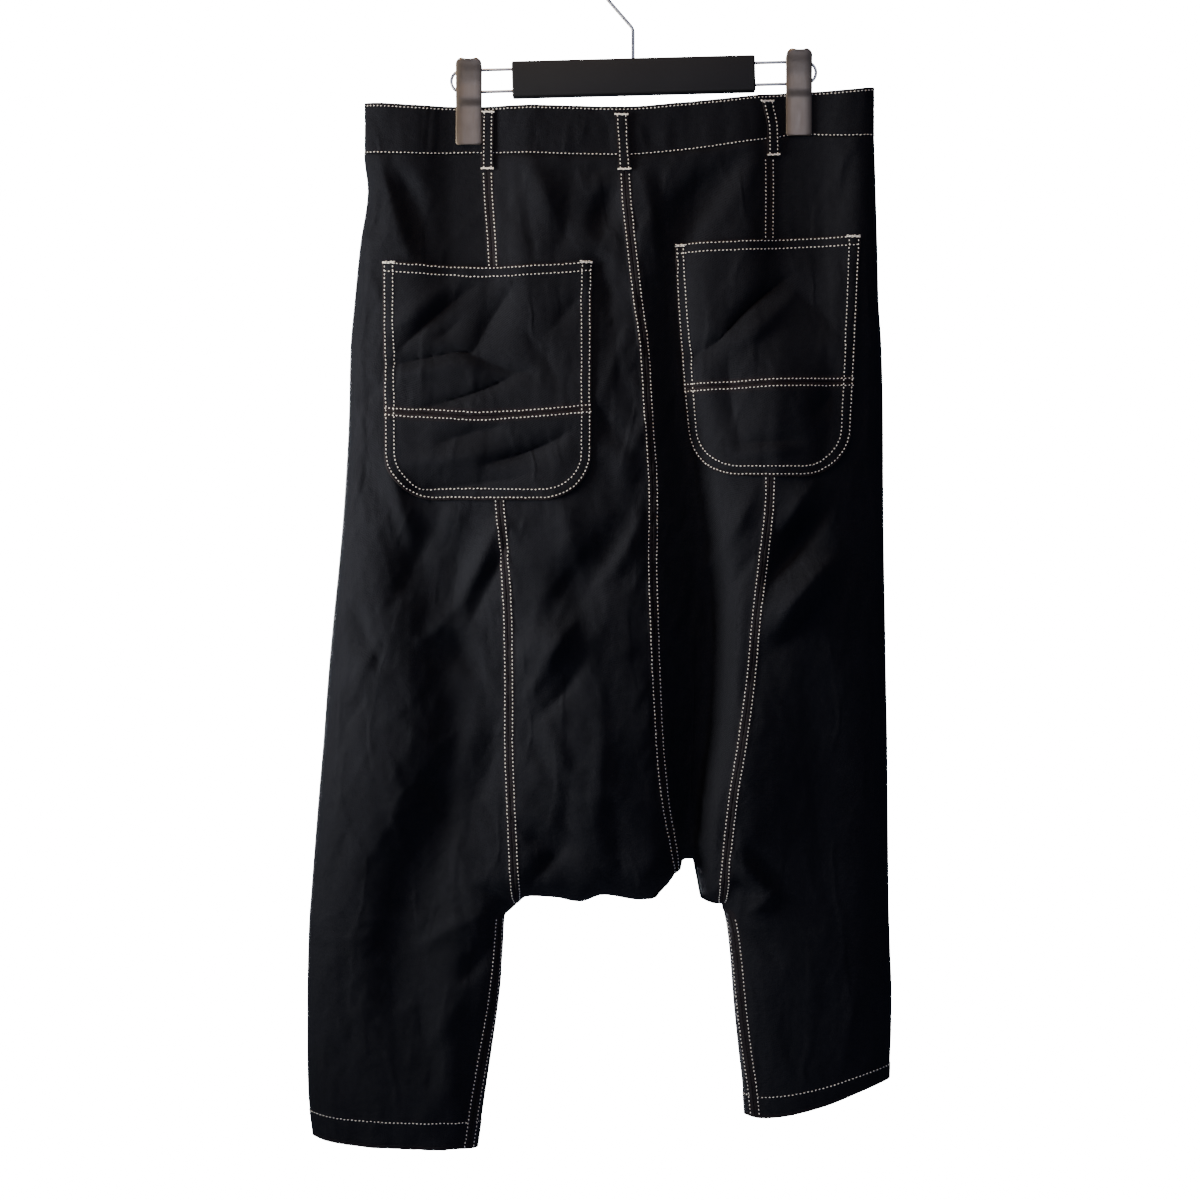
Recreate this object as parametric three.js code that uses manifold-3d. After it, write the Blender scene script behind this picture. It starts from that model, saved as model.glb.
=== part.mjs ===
// Black drop-crotch trousers hung by the waistband from a two-clip hanger.
// Millimetres, +Z up. The origin is the underside of the hook's crown, where a rail carries it.
// The back of the trousers faces -Y and their front +Y. Each cloth piece is a closed wall, and
// every wall is cut from one surface, so that neighbours run into each other across their seams.
import * as THREE from 'three';
import { mergeVertices } from 'three/addons/utils/BufferGeometryUtils.js';
import Module from 'manifold-3d';

// Cloth
const CLOTH = 1.2;              // wall of a panel: one layer of cotton drill with its seam turnings
const BAND = 2.0;               // wall of the waistband: the cloth doubled over its interfacing
const SEAM = 0.35;              // clearance between two pieces where they are sewn together
const BAND_TOP = -134;          // level of the waistband's upper edge before it sags
const BAND_FOOT = -177;         // level of the seam between waistband and panels
const CROTCH = -813;            // level of the two corners where the inseams start
const EASE_END = -240;          // below this level the panels no longer follow the waist seam's line
const NIP = 1.45;               // half the distance between the walls that a clip squeezes together
const NIP_HALF = 13;            // half the width of waistband that a clip holds flat
const NIP_FADE = 38;            // how far beside a clip the cloth takes to open again
const NIP_END = -400;           // level at which the cloth under a clip has opened fully
const CROTCH_ROUND = 30;        // how far above the crotch edge the cloth rounds over
const SHANK_ROUND = 46;         // how far out from a leg's inner edge it does so

// Clips and hanger
const CLIP_LEFT = { x: -139.4, top: -96.7 };
const CLIP_RIGHT = { x: 140.9, top: -88.8 };
const CLIP_WIDTH = 21.6;
const CLIP_HEIGHT = 72.4;
const JAW = 1.2;                // sheet of a clip's jaw
const BAR = { x: 0.5, z: -111, length: 206.5, height: 30.5, depth: 14, round: 3 };
const TILT = 1.5;               // degrees by which the bar hangs lower on its left
const RAIL = { offset: 9.3, radius: 1.3, reach: 155, root: 12 };
const HOOK = { radius: 28.3, wire: 1.5, tip: -35, leave: 221, root: 15 };
const FIT = 0.3;                // clearance of a wire in its hole
const CLIP_CORNER = 4.5;        // radius of a jaw's upper corners
const CLIP_BOW = 1.1;           // how far a jaw's middle stands proud of its edges
const SADDLE = { width: 8, depth: 10, height: 25 };
const LAP = { under: -22, over: 13 };
const SEAM_RISE = 0.6;          // clearance of the waistband's foot over the panels
const LOOP = { width: 10.2, wall: 1.5, gap: 0.5, slack: 0.5 };
const POCKET_GAP = 0.8;         // clearance of a patch over the panels that it is sewn to
const POCKET_SLACK = 1.6;       // how far a pocket's middle stands away from them
const FLY = { width: 38, foot: -352, bend: 0.72 };
const BUTTON = { x: 2, z: -157, radius: 8.5, rise: 3.2 };

/** Names the columns of a short table, so that each row reads as one record. */
function table(names, rows) {
  const keys = names.split(' ');
  return rows.map((row) => Object.fromEntries(keys.map((key, i) => [key, row[i]])));
}

// Outline of the body, the lengthwise seams of its back, the centre seam of its front and half
// of its depth, level by level from the waist seam to the crotch corners.
const BODY = table('z left princessLeft centre princessRight right frontCentre depth', [
  [-134, -226, -124, -7.5, 115, 203.6, -1, 9],
  [-177, -228, -124, -7.5, 115.3, 204.4, -1, 10],
  [-207, -225, -123, -6, 115.5, 205.6, 0, 12],
  [-255, -231.5, -119.5, -1.5, 115, 207.2, 1, 15],
  [-300, -236, -117.7, 3.5, 115.3, 208.2, 2, 18],
  [-343, -239.7, -116.5, 9.2, 115.6, 210.8, 4, 21],
  [-400, -241, -114.5, 12.5, 115.6, 212, 7, 24],
  [-470, -244.8, -112.5, 16.6, 114.2, 212.3, 10, 27],
  [-521, -249, -108, 16, 108.8, 212.9, 12, 29],
  [-572, -254.2, -105.2, 17.2, 102.8, 213.8, 15, 31],
  [-623, -258.8, -104.5, 19, 98, 214.6, 18, 32],
  [-675, -262.6, -104.6, 21.6, 91, 215.6, 21, 33],
  [-725, -266.9, -102.8, 26.4, 83, 216, 27, 33],
  [-768, -270.3, -101, 34, 78.6, 216.4, 34, 31],
  [-813, -273.7, -99, 40, 75.5, 216.8, 40, 30],
]);
const SHANKS = {
  left: table('z outer inner inseam depth', [
    [-813, -273.7, -99, -99, 30],
    [-823, -274.5, -109.6, -112.6, 29.8],
    [-853, -275.6, -111.3, -114.8, 29],
    [-895, -276.3, -114.8, -119.6, 27.5],
    [-938, -276.3, -120.7, -126.8, 25.5],
    [-980, -275.6, -127, -134, 23.5],
    [-1019.6, -271.5, -132.6, -139.9, 21.5],
  ]),
  right: table('z outer inner inseam depth', [
    [-813, 216.8, 75.5, 75.5, 30],
    [-823, 217.1, 78.6, 83, 29.8],
    [-853, 218, 82.5, 88, 28.8],
    [-895, 219.3, 85.8, 92, 27],
    [-938, 218.9, 90.1, 97, 24.5],
    [-965, 218, 93.2, 101, 22.7],
    [-991.5, 217.4, 95.2, 104, 21],
  ]),
};
// Lower edge of the seat, which is hitched up in a notch beside the centre seam.
const SEAT_EDGE = table('x z', [
  [-99, -813], [-87.5, -806.5], [-62, -807.9], [-45, -811.2], [-25.5, -805.4], [6, -809.6],
  [15, -808.6], [23, -801], [31.5, -793.5], [38, -786.5], [43.4, -774.8], [52.7, -774.8],
  [56, -793.5], [58.8, -807.9], [75.5, -813],
]);
// Upper edge of the waistband and its seam with the panels, which both climb towards the right.
const WAIST = table('x top foot', [
  [-229, -133.2, -176.8], [-181, -136.2, -178], [-139.4, -136.8, -176.6], [-87.5, -136, -177.6],
  [-11, -137.7, -179.3], [42.5, -134, -175.3], [89, -129.4, -168.8], [111, -126.6, -165.3],
  [143.7, -124.5, -160.8], [184.4, -122.6, -162.6], [205, -119.8, -161.5],
]);
// Places of the waistband's columns: close where it turns at the sides and where a clip holds it.
const CLIP_COLUMNS = [-227, -225.6, -221, -213, -199, -180, -164, -152.4, -139.4, -126.4, -116, -100, -76, -50,
  -25, 0, 25, 50, 76, 100, 116, 127.9, 140.9, 153.9, 166, 180, 190, 198, 202.4, 204];
const LOOPS = {
  loop_back_left: { side: 'back', line: [[-140, -122.7], [-165, -123], [-190.6, -123.3]] },
  loop_back_centre: { side: 'back', line: [[-143.4, -9.8], [-168, -8.4], [-192.5, -7.2]] },
  loop_back_right: { side: 'back', line: [[-131.2, 113.3], [-157, 118.3], [-179.2, 118.7]] },
  loop_front_left: { side: 'front', line: [[-141, -92], [-166, -92], [-191, -92]] },
  loop_front_right: { side: 'front', line: [[-132, 88], [-157, 88], [-182, 88]] },
};
const POCKETS = {
  left: { left: -211, leftFoot: -208.6, right: -35, rightFoot: -35.4, mouthLeft: -269.4, mouthRight: -268.8,
    seamLeft: -396.9, seamRight: -394.4, footLeft: -471.5, footRight: -471.5, radius: 40 },
  right: { left: 34.6, leftFoot: 50, right: 191.6, rightFoot: 181, mouthLeft: -254.2, mouthRight: -246.8,
    seamLeft: -376, seamRight: -371.6, footLeft: -451, footRight: -452, radius: 40 },
};
const POCKET_COLUMNS = [0, 0.06, 0.15, 0.29, 0.43, 0.57, 0.71, 0.85, 0.94, 1];
const HEMS = {
  left: table('x z', [[-275, -1008.2], [-257, -1012.9], [-215, -1017], [-172, -1018.8], [-132.6, -1019.6]]),
  right: table('x z', [[95, -991.5], [108, -993.2], [125, -991.3], [159, -983], [193, -970.3], [218, -960.7]]),
};
// Soft troughs, with a positive depth, and ridges, with a negative one, from one point to another.
const FOLDS = table('side x1 z1 x2 z2 depth width', [
  ['back', -214, -500, -190, -580, 6.8, 20],
  ['back', -188, -590, -164, -655, 7.5, 20],
  ['back', -166, -670, -196, -745, 8.2, 20],
  ['back', -200, -755, -217, -835, 7.5, 19],
  ['back', -216, -850, -210, -925, 6, 18],
  ['back', -142, -850, -150, -990, 3.8, 17],
  ['back', -2, -500, -42, -568, 9, 17],
  ['back', -38, -585, -26, -665, 9.8, 17],
  ['back', -92, -607, -56, -582, -6, 16],
  ['back', -76, -720, -60, -790, 6.8, 16],
  ['back', 120, -580, 160, -535, -7.5, 17],
  ['back', 112, -645, 114, -760, -6, 16],
  ['back', 148, -600, 152, -780, 6.8, 20],
  ['back', 176, -700, 170, -900, 5.2, 20],
  ['back', 32, -190, 90, -232, 5, 19],
  ['back', -190, -196, -146, -246, 6, 19],
  ['back', -28, -215, -14, -262, 5.2, 17],
  ['front', -60, -240, -20, -420, 5.5, 24],
  ['front', 70, -260, 40, -430, 6, 24],
  ['front', -40, -470, -30, -700, 12, 24],
  ['front', 52, -520, 50, -720, 15, 22],
  ['front', -190, -480, -170, -760, 9, 26],
  ['front', 160, -460, 146, -760, 9, 26],
  ['front', -200, -850, -190, -960, 6, 20],
  ['front', 150, -850, 156, -940, 6, 20],
]);
// The deep fold that falls from the seat's centre seam: its floor, the reach of its two slopes
// and how far it goes in.
const SEAT_FOLD = table('z x leftReach rightReach depth', [
  [-270, 8, 14, 20, 0], [-343, 19, 12, 20, 6], [-430, 25, 12, 22, 11], [-515, 27, 13, 24, 16],
  [-600, 30, 14, 24, 23], [-680, 36, 14, 24, 29], [-745, 43, 13, 20, 29], [-775, 47, 11, 15, 14],
  [-813, 49, 10, 10, 8],
]);
// Levels of the rows of a panel, close together only where the cloth rounds over the crotch.
const BODY_ROWS = [-177, -192, -212, -240, -275, -315, -355, -395, -435, -475, -515, -555, -595,
  -635, -675, -712];
const CORNER_ROWS = [-742, -768, -786, -799, -808, -813];
const SEAT_ROWS = [0.3, 0.55, 0.75, 0.9, 0.975, 1];
const SHANK_ROWS = [-819, -828, -843, -866, -896, -930, -965, -995, -1019.6];

const mix = (a, b, t) => a + (b - a) * t;
const clamp = (value, low, high) => Math.min(Math.max(value, low), high);
const fade = (t) => { const k = clamp(t, 0, 1); return k * k * (3 - 2 * k); };

/** Reads a column of a table at a key between its rows, along smooth curves that keep its bends. */
function read(rows, key, column, at) {
  const rising = rows[1][key] > rows[0][key] ? 1 : -1;
  let i = 0;
  while (i < rows.length - 2 && (at - rows[i + 1][key]) * rising > 0) i += 1;
  const slope = (a, b) => (rows[b][column] - rows[a][column]) / (rows[b][key] - rows[a][key]);
  const tangent = (k) => {
    if (k === 0 || k === rows.length - 1) return slope(k === 0 ? 0 : k - 1, k === 0 ? 1 : k);
    const [before, after] = [slope(k - 1, k), slope(k, k + 1)];
    return before * after <= 0 ? 0 : (2 * before * after) / (before + after);
  };
  const span = rows[i + 1][key] - rows[i][key];
  const t = clamp((at - rows[i][key]) / span, 0, 1);
  const [a, b] = [rows[i][column], rows[i + 1][column]];
  const [u, v] = [tangent(i) * span, tangent(i + 1) * span];
  return a + t * (u + t * (3 * (b - a) - 2 * u - v + t * (u + v - 2 * (b - a))));
}

const body = (column, z) => read(BODY, 'z', column, z);
const shank = (side, column, z) => read(SHANKS[side], 'z', column, z);
const seatEdge = (x) => read(SEAT_EDGE, 'x', 'z', x);

/** Points along the inner edge of both legs and the seat between them. */
function innerEdge() {
  const points = [];
  for (let i = 12; i > 0; i -= 1) {
    const z = mix(CROTCH, -1019.6, i / 12);
    points.push([shank('left', 'inner', z), z]);
  }
  for (let i = 0; i <= 60; i += 1) {
    const x = mix(-99, 75.5, i / 60);
    points.push([x, seatEdge(x)]);
  }
  for (let i = 1; i <= 12; i += 1) {
    const z = mix(CROTCH, -991.5, i / 12);
    points.push([shank('right', 'inner', z), z]);
  }
  return points;
}
const INNER_EDGE = innerEdge();

function distanceToInnerEdge(x, z) {
  let best = Infinity;
  for (let i = 1; i < INNER_EDGE.length; i += 1) {
    const [[ax, az], [bx, bz]] = [INNER_EDGE[i - 1], INNER_EDGE[i]];
    const length2 = (bx - ax) ** 2 + (bz - az) ** 2;
    const t = clamp(((x - ax) * (bx - ax) + (z - az) * (bz - az)) / length2, 0, 1);
    best = Math.min(best, Math.hypot(x - mix(ax, bx, t), z - mix(az, bz, t)));
  }
  return best;
}

/** Height of a quarter round at a distance from its foot. */
function round(distance, radius) {
  const rest = 1 - clamp(distance / radius, 0, 1);
  return Math.sqrt(Math.max(0, 1 - rest * rest));
}

/** How far the cloth is rounded out at a place, from 0 on the outline to 1 inside it. */
function fullness(x, z) {
  const low = z < CROTCH;
  const left = low ? shank('left', 'outer', z) : body('left', z);
  const right = low ? shank('right', 'outer', z) : body('right', z);
  const reach = mix(30, 58, fade((-170 - z) / 400));
  const sides = round(x - left, reach) * round(right - x, reach);
  const inside = mix(CROTCH_ROUND, SHANK_ROUND, fade((CROTCH + 10 - z) / 70));
  return z > -700 ? sides : sides * round(distanceToInnerEdge(x, z), inside);
}

/** 1 where a clip squeezes the cloth flat, fading to 0 beside and below it. */
function pinch(x, z) {
  const held = [CLIP_LEFT, CLIP_RIGHT].map((clip) => {
    const aside = Math.abs(x - clip.x) - NIP_HALF;
    return 1 - fade(aside / NIP_FADE);
  });
  return Math.max(...held) * (1 - fade((-185 - z) / (-185 - NIP_END)));
}

/** How far the folds of one side press the cloth in at a place. */
function foldDepth(side, x, z) {
  let total = 0;
  for (const fold of FOLDS) {
    if (fold.side !== side) continue;
    const [dx, dz] = [fold.x2 - fold.x1, fold.z2 - fold.z1];
    const along = ((x - fold.x1) * dx + (z - fold.z1) * dz) / (dx * dx + dz * dz);
    const t = clamp(along, 0, 1);
    const away = Math.hypot(x - fold.x1 - dx * t, z - fold.z1 - dz * t) / fold.width;
    total += fold.depth * Math.exp(-away * away);
  }
  if (side === 'back' && z < -270) {
    const aside = x - read(SEAT_FOLD, 'z', 'x', z);
    const reach = read(SEAT_FOLD, 'z', aside < 0 ? 'leftReach' : 'rightReach', z);
    total += read(SEAT_FOLD, 'z', 'depth', z) * Math.exp(-((aside / reach) ** 2));
  }
  return total;
}

/** Distance of the cloth from the middle plane on one side, at a place of the hanging garment. */
function bulge(side, x, z) {
  let depth = body('depth', z);
  if (z < CROTCH) depth = shank(x < 0 ? 'left' : 'right', 'depth', z);
  const held = pinch(x, z);
  const full = fullness(x, z);
  return mix(full * (depth - foldDepth(side, x, z)), Math.min(NIP, full * depth), held);
}

const outwards = (side) => (side === 'back' ? -1 : 1);
const waistEase = (level) => fade((level - EASE_END) / (BAND_FOOT - EASE_END));

/** A point of the cloth: x and a level before the waist seam's and the hems' lines are applied. */
function clothPoint(side, x, level, hem) {
  const y = outwards(side) * bulge(side, x, level);
  let z = level;
  if (level >= BAND_FOOT) {
    const down = (BAND_TOP - level) / (BAND_TOP - BAND_FOOT);
    z = mix(read(WAIST, 'x', 'top', x), read(WAIST, 'x', 'foot', x), down);
  } else if (level > EASE_END) {
    z += (read(WAIST, 'x', 'foot', x) - BAND_FOOT) * waistEase(level);
  } else if (hem && level < CROTCH) {
    const last = SHANKS[hem][SHANKS[hem].length - 1].z;
    z += (read(HEMS[hem], 'x', 'z', x) - last) * ((level - CROTCH) / (last - CROTCH)) ** 2;
  }
  return new THREE.Vector3(x, y, z);
}

/** The level that ends at a height, for a place above the crotch. */
function levelAt(x, z) {
  const [top, foot] = [read(WAIST, 'x', 'top', x), read(WAIST, 'x', 'foot', x)];
  if (z >= foot) return mix(BAND_TOP, BAND_FOOT, clamp((top - z) / (top - foot), 0, 1));
  let level = z;
  for (let i = 0; i < 12; i += 1) level = Math.min(z - (foot - BAND_FOOT) * waistEase(level), BAND_FOOT);
  return level;
}

/** A point over the cloth at a place of one side, raised off its middle surface. */
function overCloth(side, x, z, raise) {
  const out = (px, pz) => bulge(side, px, levelAt(px, pz));
  const slopeX = (out(x + 1, z) - out(x - 1, z)) / 2;
  const slopeZ = (out(x, z + 1) - out(x, z - 1)) / 2;
  const lift = raise / Math.hypot(1, slopeX, slopeZ);
  return new THREE.Vector3(x - slopeX * lift, outwards(side) * (out(x, z) + lift), z - slopeZ * lift);
}

/**
 * Builds a closed wall on a grid of points: its two faces lie half the thickness to each side of
 * the middle surface, and point(u, v) gives that surface for grid places u and v.
 */
function wall(us, vs, point, thickness) {
  const step = 0.004;
  const middle = vs.map((v) => us.map((u) => point(u, v)));
  const across = (list, i) => {
    const span = (list[list.length - 1] - list[0]) * step;
    return [Math.max(list[i] - span, list[0]), Math.min(list[i] + span, list[list.length - 1])];
  };
  const normals = vs.map((v, j) => us.map((u, i) => {
    const [[u0, u1], [v0, v1]] = [across(us, i), across(vs, j)];
    const alongU = point(u1, v).sub(point(u0, v));
    const alongV = point(u, v1).sub(point(u, v0));
    return alongU.cross(alongV).normalize();
  }));
  const positions = [];
  for (const offset of [thickness / 2, -thickness / 2]) {
    middle.forEach((row, j) => row.forEach((p, i) => {
      positions.push(...p.clone().addScaledVector(normals[j][i], offset).toArray());
    }));
  }
  return solidGrid(positions, us.length, vs.length);
}

/** Joins the two faces of a wall, listed row by row, with their four edges. */
function solidGrid(positions, columns, rows) {
  const at = (i, j, face) => face * columns * rows + j * columns + i;
  const index = [];
  const quad = (a, b, c, d) => index.push(a, b, c, a, c, d);
  for (let j = 0; j + 1 < rows; j += 1) {
    for (let i = 0; i + 1 < columns; i += 1) {
      quad(at(i, j, 0), at(i + 1, j, 0), at(i + 1, j + 1, 0), at(i, j + 1, 0));
      quad(at(i, j, 1), at(i, j + 1, 1), at(i + 1, j + 1, 1), at(i + 1, j, 1));
    }
    quad(at(0, j, 0), at(0, j + 1, 0), at(0, j + 1, 1), at(0, j, 1));
    quad(at(columns - 1, j, 0), at(columns - 1, j, 1), at(columns - 1, j + 1, 1), at(columns - 1, j + 1, 0));
  }
  for (let i = 0; i + 1 < columns; i += 1) {
    quad(at(i, 0, 0), at(i, 0, 1), at(i + 1, 0, 1), at(i + 1, 0, 0));
    quad(at(i, rows - 1, 0), at(i + 1, rows - 1, 0), at(i + 1, rows - 1, 1), at(i, rows - 1, 1));
  }
  const geometry = new THREE.BufferGeometry();
  geometry.setAttribute('position', new THREE.Float32BufferAttribute(positions, 3));
  geometry.setIndex(index);
  return outward(geometry);
}

function volume(geometry) {
  const p = geometry.getAttribute('position');
  const index = geometry.getIndex();
  const [a, b, c] = [new THREE.Vector3(), new THREE.Vector3(), new THREE.Vector3()];
  let total = 0;
  for (let i = 0; i < index.count; i += 3) {
    a.fromBufferAttribute(p, index.getX(i));
    b.fromBufferAttribute(p, index.getX(i + 1));
    c.fromBufferAttribute(p, index.getX(i + 2));
    total += a.dot(b.cross(c)) / 6;
  }
  return total;
}

/** Turns the faces of a closed mesh outwards where its grid ran the other way round. */
function outward(geometry) {
  if (volume(geometry) < 0) {
    const index = geometry.getIndex().array;
    for (let i = 0; i < index.length; i += 3) [index[i], index[i + 1]] = [index[i + 1], index[i]];
  }
  return geometry;
}

/** Evenly spaced values from 0 to 1. */
const steps = (count) => Array.from({ length: count + 1 }, (_, i) => i / count);

/** Reads a list at a place between its entries. */
function between(list, place) {
  const i = clamp(Math.floor(place), 0, list.length - 2);
  return mix(list[i], list[i + 1], place - i);
}

/** The panel of one leg: round the outside from its back seam to its front seam, down to the hem. */
function legPanel(side) {
  const sign = side === 'left' ? 1 : -1;
  const princess = side === 'left' ? 'princessLeft' : 'princessRight';
  const levels = [...BODY_ROWS, ...CORNER_ROWS, ...SHANK_ROWS];
  const last = SHANKS[side][SHANKS[side].length - 1].z;
  const levelOfRow = (v) => {
    const z = between(levels, v);
    return z > CROTCH ? z : CROTCH + (z - CROTCH) * ((last - CROTCH) / (-1019.6 - CROTCH));
  };
  const point = (u, v) => {
    const z = levelOfRow(v);
    const low = z < CROTCH;
    const outer = low ? shank(side, 'outer', z) : body(side, z);
    const seam = low ? shank(side, 'inseam', z) : body(princess, z);
    const inner = low ? shank(side, 'inner', z) : seam;
    if (u <= 0) {
      const x = mix(outer, seam - (sign * SEAM) / 2, (-u) ** 1.5);
      return clothPoint('back', x, z, side);
    }
    const wrap = low ? (2 / Math.PI) * Math.asin(Math.sqrt(Math.abs((seam - inner) / (inner - outer)))) : 0;
    const turn = u * (1 + wrap) - (low ? 0.002 : 0);
    const rounded = (1 - Math.cos(Math.PI * turn)) / 2;
    const share = mix(u ** 1.5, rounded, fade((-690 - z) / 110));
    const x = mix(outer, inner - (low ? 0 : (sign * SEAM) / 2), share);
    return clothPoint(turn > 1 ? 'back' : 'front', x, z, side);
  };
  const us = [...steps(8).slice(1).reverse().map((u) => -u), ...steps(11)];
  return wall(us, levels.map((_, i) => i), point, CLOTH);
}

/** A panel of the seat, between two lengthwise seams and down to the edge of the crotch. */
function seatPanel(side, from, to, columns) {
  const rows = [...BODY_ROWS.map((_, i) => i), ...SEAT_ROWS.map((_, i) => BODY_ROWS.length + i)];
  const foot = (u) => {
    const x = mix(read(BODY, 'z', from, CROTCH), read(BODY, 'z', to, CROTCH), u);
    return seatEdge(clamp(x, -99, 75.5));
  };
  const point = (u, v) => {
    const start = BODY_ROWS[BODY_ROWS.length - 1];
    const z = v < BODY_ROWS.length - 1
      ? between(BODY_ROWS, v)
      : mix(start, foot(u), between([0, ...SEAT_ROWS], v - BODY_ROWS.length + 1));
    const x = mix(body(from, z) + SEAM / 2, body(to, z) - SEAM / 2, u);
    const p = clothPoint(side, x, z);
    const edge = side === 'back' ? -SEAM / 2 : SEAM / 2;
    if (v > rows.length - 1.001) p.y = edge;
    return p;
  };
  return wall(steps(columns), rows, point, CLOTH);
}

const colours = {
  cloth: 0x16161a, edge: 0x1c1c20, bar: 0x242426, clip: 0x6b635f, wire: 0x8a8580, button: 0x2a2624,
};
const clothFinish = () => new THREE.MeshStandardMaterial({ color: colours.cloth, roughness: 0.92, metalness: 0 });
const steelFinish = (color, roughness) => new THREE.MeshStandardMaterial({ color, roughness, metalness: 1 });

/** The waistband: one strip from its under end at the centre front, round the body, to its lap. */
function waistband() {
  const across = [...CLIP_COLUMNS];
  const [left, right] = [across[0], across[across.length - 1]];
  const underEnd = across.filter((x) => x > LAP.under);
  const lapEnd = across.filter((x) => x < LAP.over);
  const route = [
    ...[LAP.under, ...underEnd].map((x) => ['front', x, 1]),
    ...across.slice(1, -1).reverse().map((x) => ['back', x, 0]),
    ...[...lapEnd, LAP.over].map((x) => ['front', x, 0]),
  ];
  const point = (u, v) => {
    const i = clamp(Math.floor(u), 0, route.length - 2);
    const [sideA, xa, underA] = route[i];
    const [sideB, xb] = route[i + 1];
    const x = mix(xa, xb, u - i);
    const side = sideA === sideB ? sideA : 'back';
    const level = mix(BAND_TOP, BAND_FOOT, v);
    const p = clothPoint(side, clamp(x, left, right), level);
    if (underA && side === 'front') p.y -= (BAND + SEAM) * (1 - fade((x - LAP.over) / 20));
    p.z += v * SEAM_RISE;
    return p;
  };
  return wall(route.map((_, i) => i), [0, 0.5, 1], point, BAND);
}

/** A belt loop over the waistband: a strip between two points of its centre line or through three. */
function beltLoop(side, line) {
  const point = (u, v) => {
    const x = read(line, 'z', 'x', mix(line[0].z, line[line.length - 1].z, v)) + u * LOOP.width;
    const z = mix(line[0].z, line[line.length - 1].z, v);
    return overCloth(side, x, z, BAND / 2 + LOOP.gap + LOOP.wall / 2 + LOOP.slack * Math.sin(Math.PI * v));
  };
  return wall([-0.5, 0, 0.5], steps(7), point, LOOP.wall);
}

/**
 * One piece of a patch pocket. The upper piece hangs from the hemmed mouth to the felled seam, and
 * the lower one goes on to the rounded foot.
 */
function pocketPiece(pocket, part) {
  const rows = part === 'upper' ? steps(6) : [...steps(2), 1.2, 1.45, 1.7, 1.88, 2];
  const slope = (a, b, u) => mix(pocket[a], pocket[b], u);
  const point = (u, v) => {
    const seam = slope('seamLeft', 'seamRight', u);
    const corner = slope('footLeft', 'footRight', u) + pocket.radius;
    const turn = clamp((v - 1) * (Math.PI / 2), 0, Math.PI / 2);
    let z = mix(slope('mouthLeft', 'mouthRight', u), seam + SEAM / 2, v);
    if (part === 'lower') z = v <= 1 ? mix(seam - SEAM / 2, corner, v) : corner - pocket.radius * Math.sin(turn);
    const inset = part === 'lower' ? pocket.radius * (1 - Math.cos(turn)) : 0;
    const down = clamp((pocket.mouthLeft - z) / (pocket.mouthLeft - pocket.footLeft), 0, 1);
    const x = mix(mix(pocket.left, pocket.leftFoot, down) + inset, mix(pocket.right, pocket.rightFoot, down) - inset, u);
    const slack = POCKET_SLACK * Math.sin(Math.PI * u) * (1 - down * down);
    return overCloth('back', x, z, CLOTH + POCKET_GAP + slack);
  };
  return wall(POCKET_COLUMNS, rows, point, CLOTH);
}

/** The fly's lap: a strip beside the front centre seam that curves into it at its foot. */
function flyLap() {
  const point = (u, v) => {
    const top = read(WAIST, 'x', 'foot', -20) - 1;
    const z = mix(top, FLY.foot, v);
    const width = FLY.width * Math.sqrt(Math.max(0.004, 1 - (clamp(v - FLY.bend, 0, 1) / (1 - FLY.bend)) ** 2));
    const x = body('frontCentre', z) - SEAM - width * (1 - u);
    return overCloth('front', x, z, CLOTH + POCKET_GAP);
  };
  return wall(steps(3), [0, 0.25, 0.5, FLY.bend, 0.86, 0.94, 0.98, 1], point, CLOTH);
}

function waistButton() {
  const { radius, rise } = BUTTON;
  const profile = [[0, 0], [0.7 * radius, 0], [radius, 0.3 * rise], [radius, 0.7 * rise],
    [0.86 * radius, rise], [0.66 * radius, 0.8 * rise], [0, 0.8 * rise]];
  return new THREE.LatheGeometry(profile.map(([x, y]) => new THREE.Vector2(x, y)), 24);
}

/** A wire along a route of points, round in section. */
function wire(points, radius, count) {
  const section = new THREE.Shape().absarc(0, 0, radius, 0, 2 * Math.PI);
  const path = new THREE.CatmullRomCurve3(points, false, 'centripetal');
  return new THREE.ExtrudeGeometry(section, {
    steps: count, curveSegments: 5, bevelEnabled: false, extrudePath: path,
  });
}

const radians = (degrees) => (degrees * Math.PI) / 180;

/** The hook: most of a ring, then a straight slope to a short stem that stands in the bar. */
function hook() {
  const centre = new THREE.Vector3(0, 0, -HOOK.radius + HOOK.wire);
  const points = [];
  for (let angle = HOOK.tip; angle < HOOK.leave; angle += 15) {
    const [x, z] = [Math.cos(radians(angle)), Math.sin(radians(angle))];
    points.push(new THREE.Vector3(x, 0, z).multiplyScalar(HOOK.radius).add(centre));
  }
  const foot = BAR.z + BAR.height / 2 - HOOK.root + 1;
  for (const [x, z] of [[-21.4, -45.4], [-12, -54.6], [-4, -62.6], [-0.6, -68.5], [0, -76], [0, foot]]) {
    points.push(new THREE.Vector3(x, 0, z));
  }
  return wire(points, HOOK.wire, 40);
}

/** One end's rail: a wire out of the bar, round a half circle past the clip and back into it. */
function rail(sign) {
  const points = [];
  const start = BAR.length / 2 - RAIL.root + 1;
  const turn = RAIL.reach - RAIL.offset;
  for (const x of [start, mix(start, turn, 0.5), turn - 4]) points.push([x, RAIL.offset]);
  for (let i = 0; i <= 8; i += 1) {
    const angle = (Math.PI * i) / 8;
    points.push([turn + RAIL.offset * Math.sin(angle), RAIL.offset * Math.cos(angle)]);
  }
  for (const x of [turn - 4, mix(start, turn, 0.5), start]) points.push([x, -RAIL.offset]);
  return wire(points.map(([x, z]) => new THREE.Vector3(sign * x, 0, z)), RAIL.radius, 24);
}

const wasm = await Module();
wasm.setup();

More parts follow.
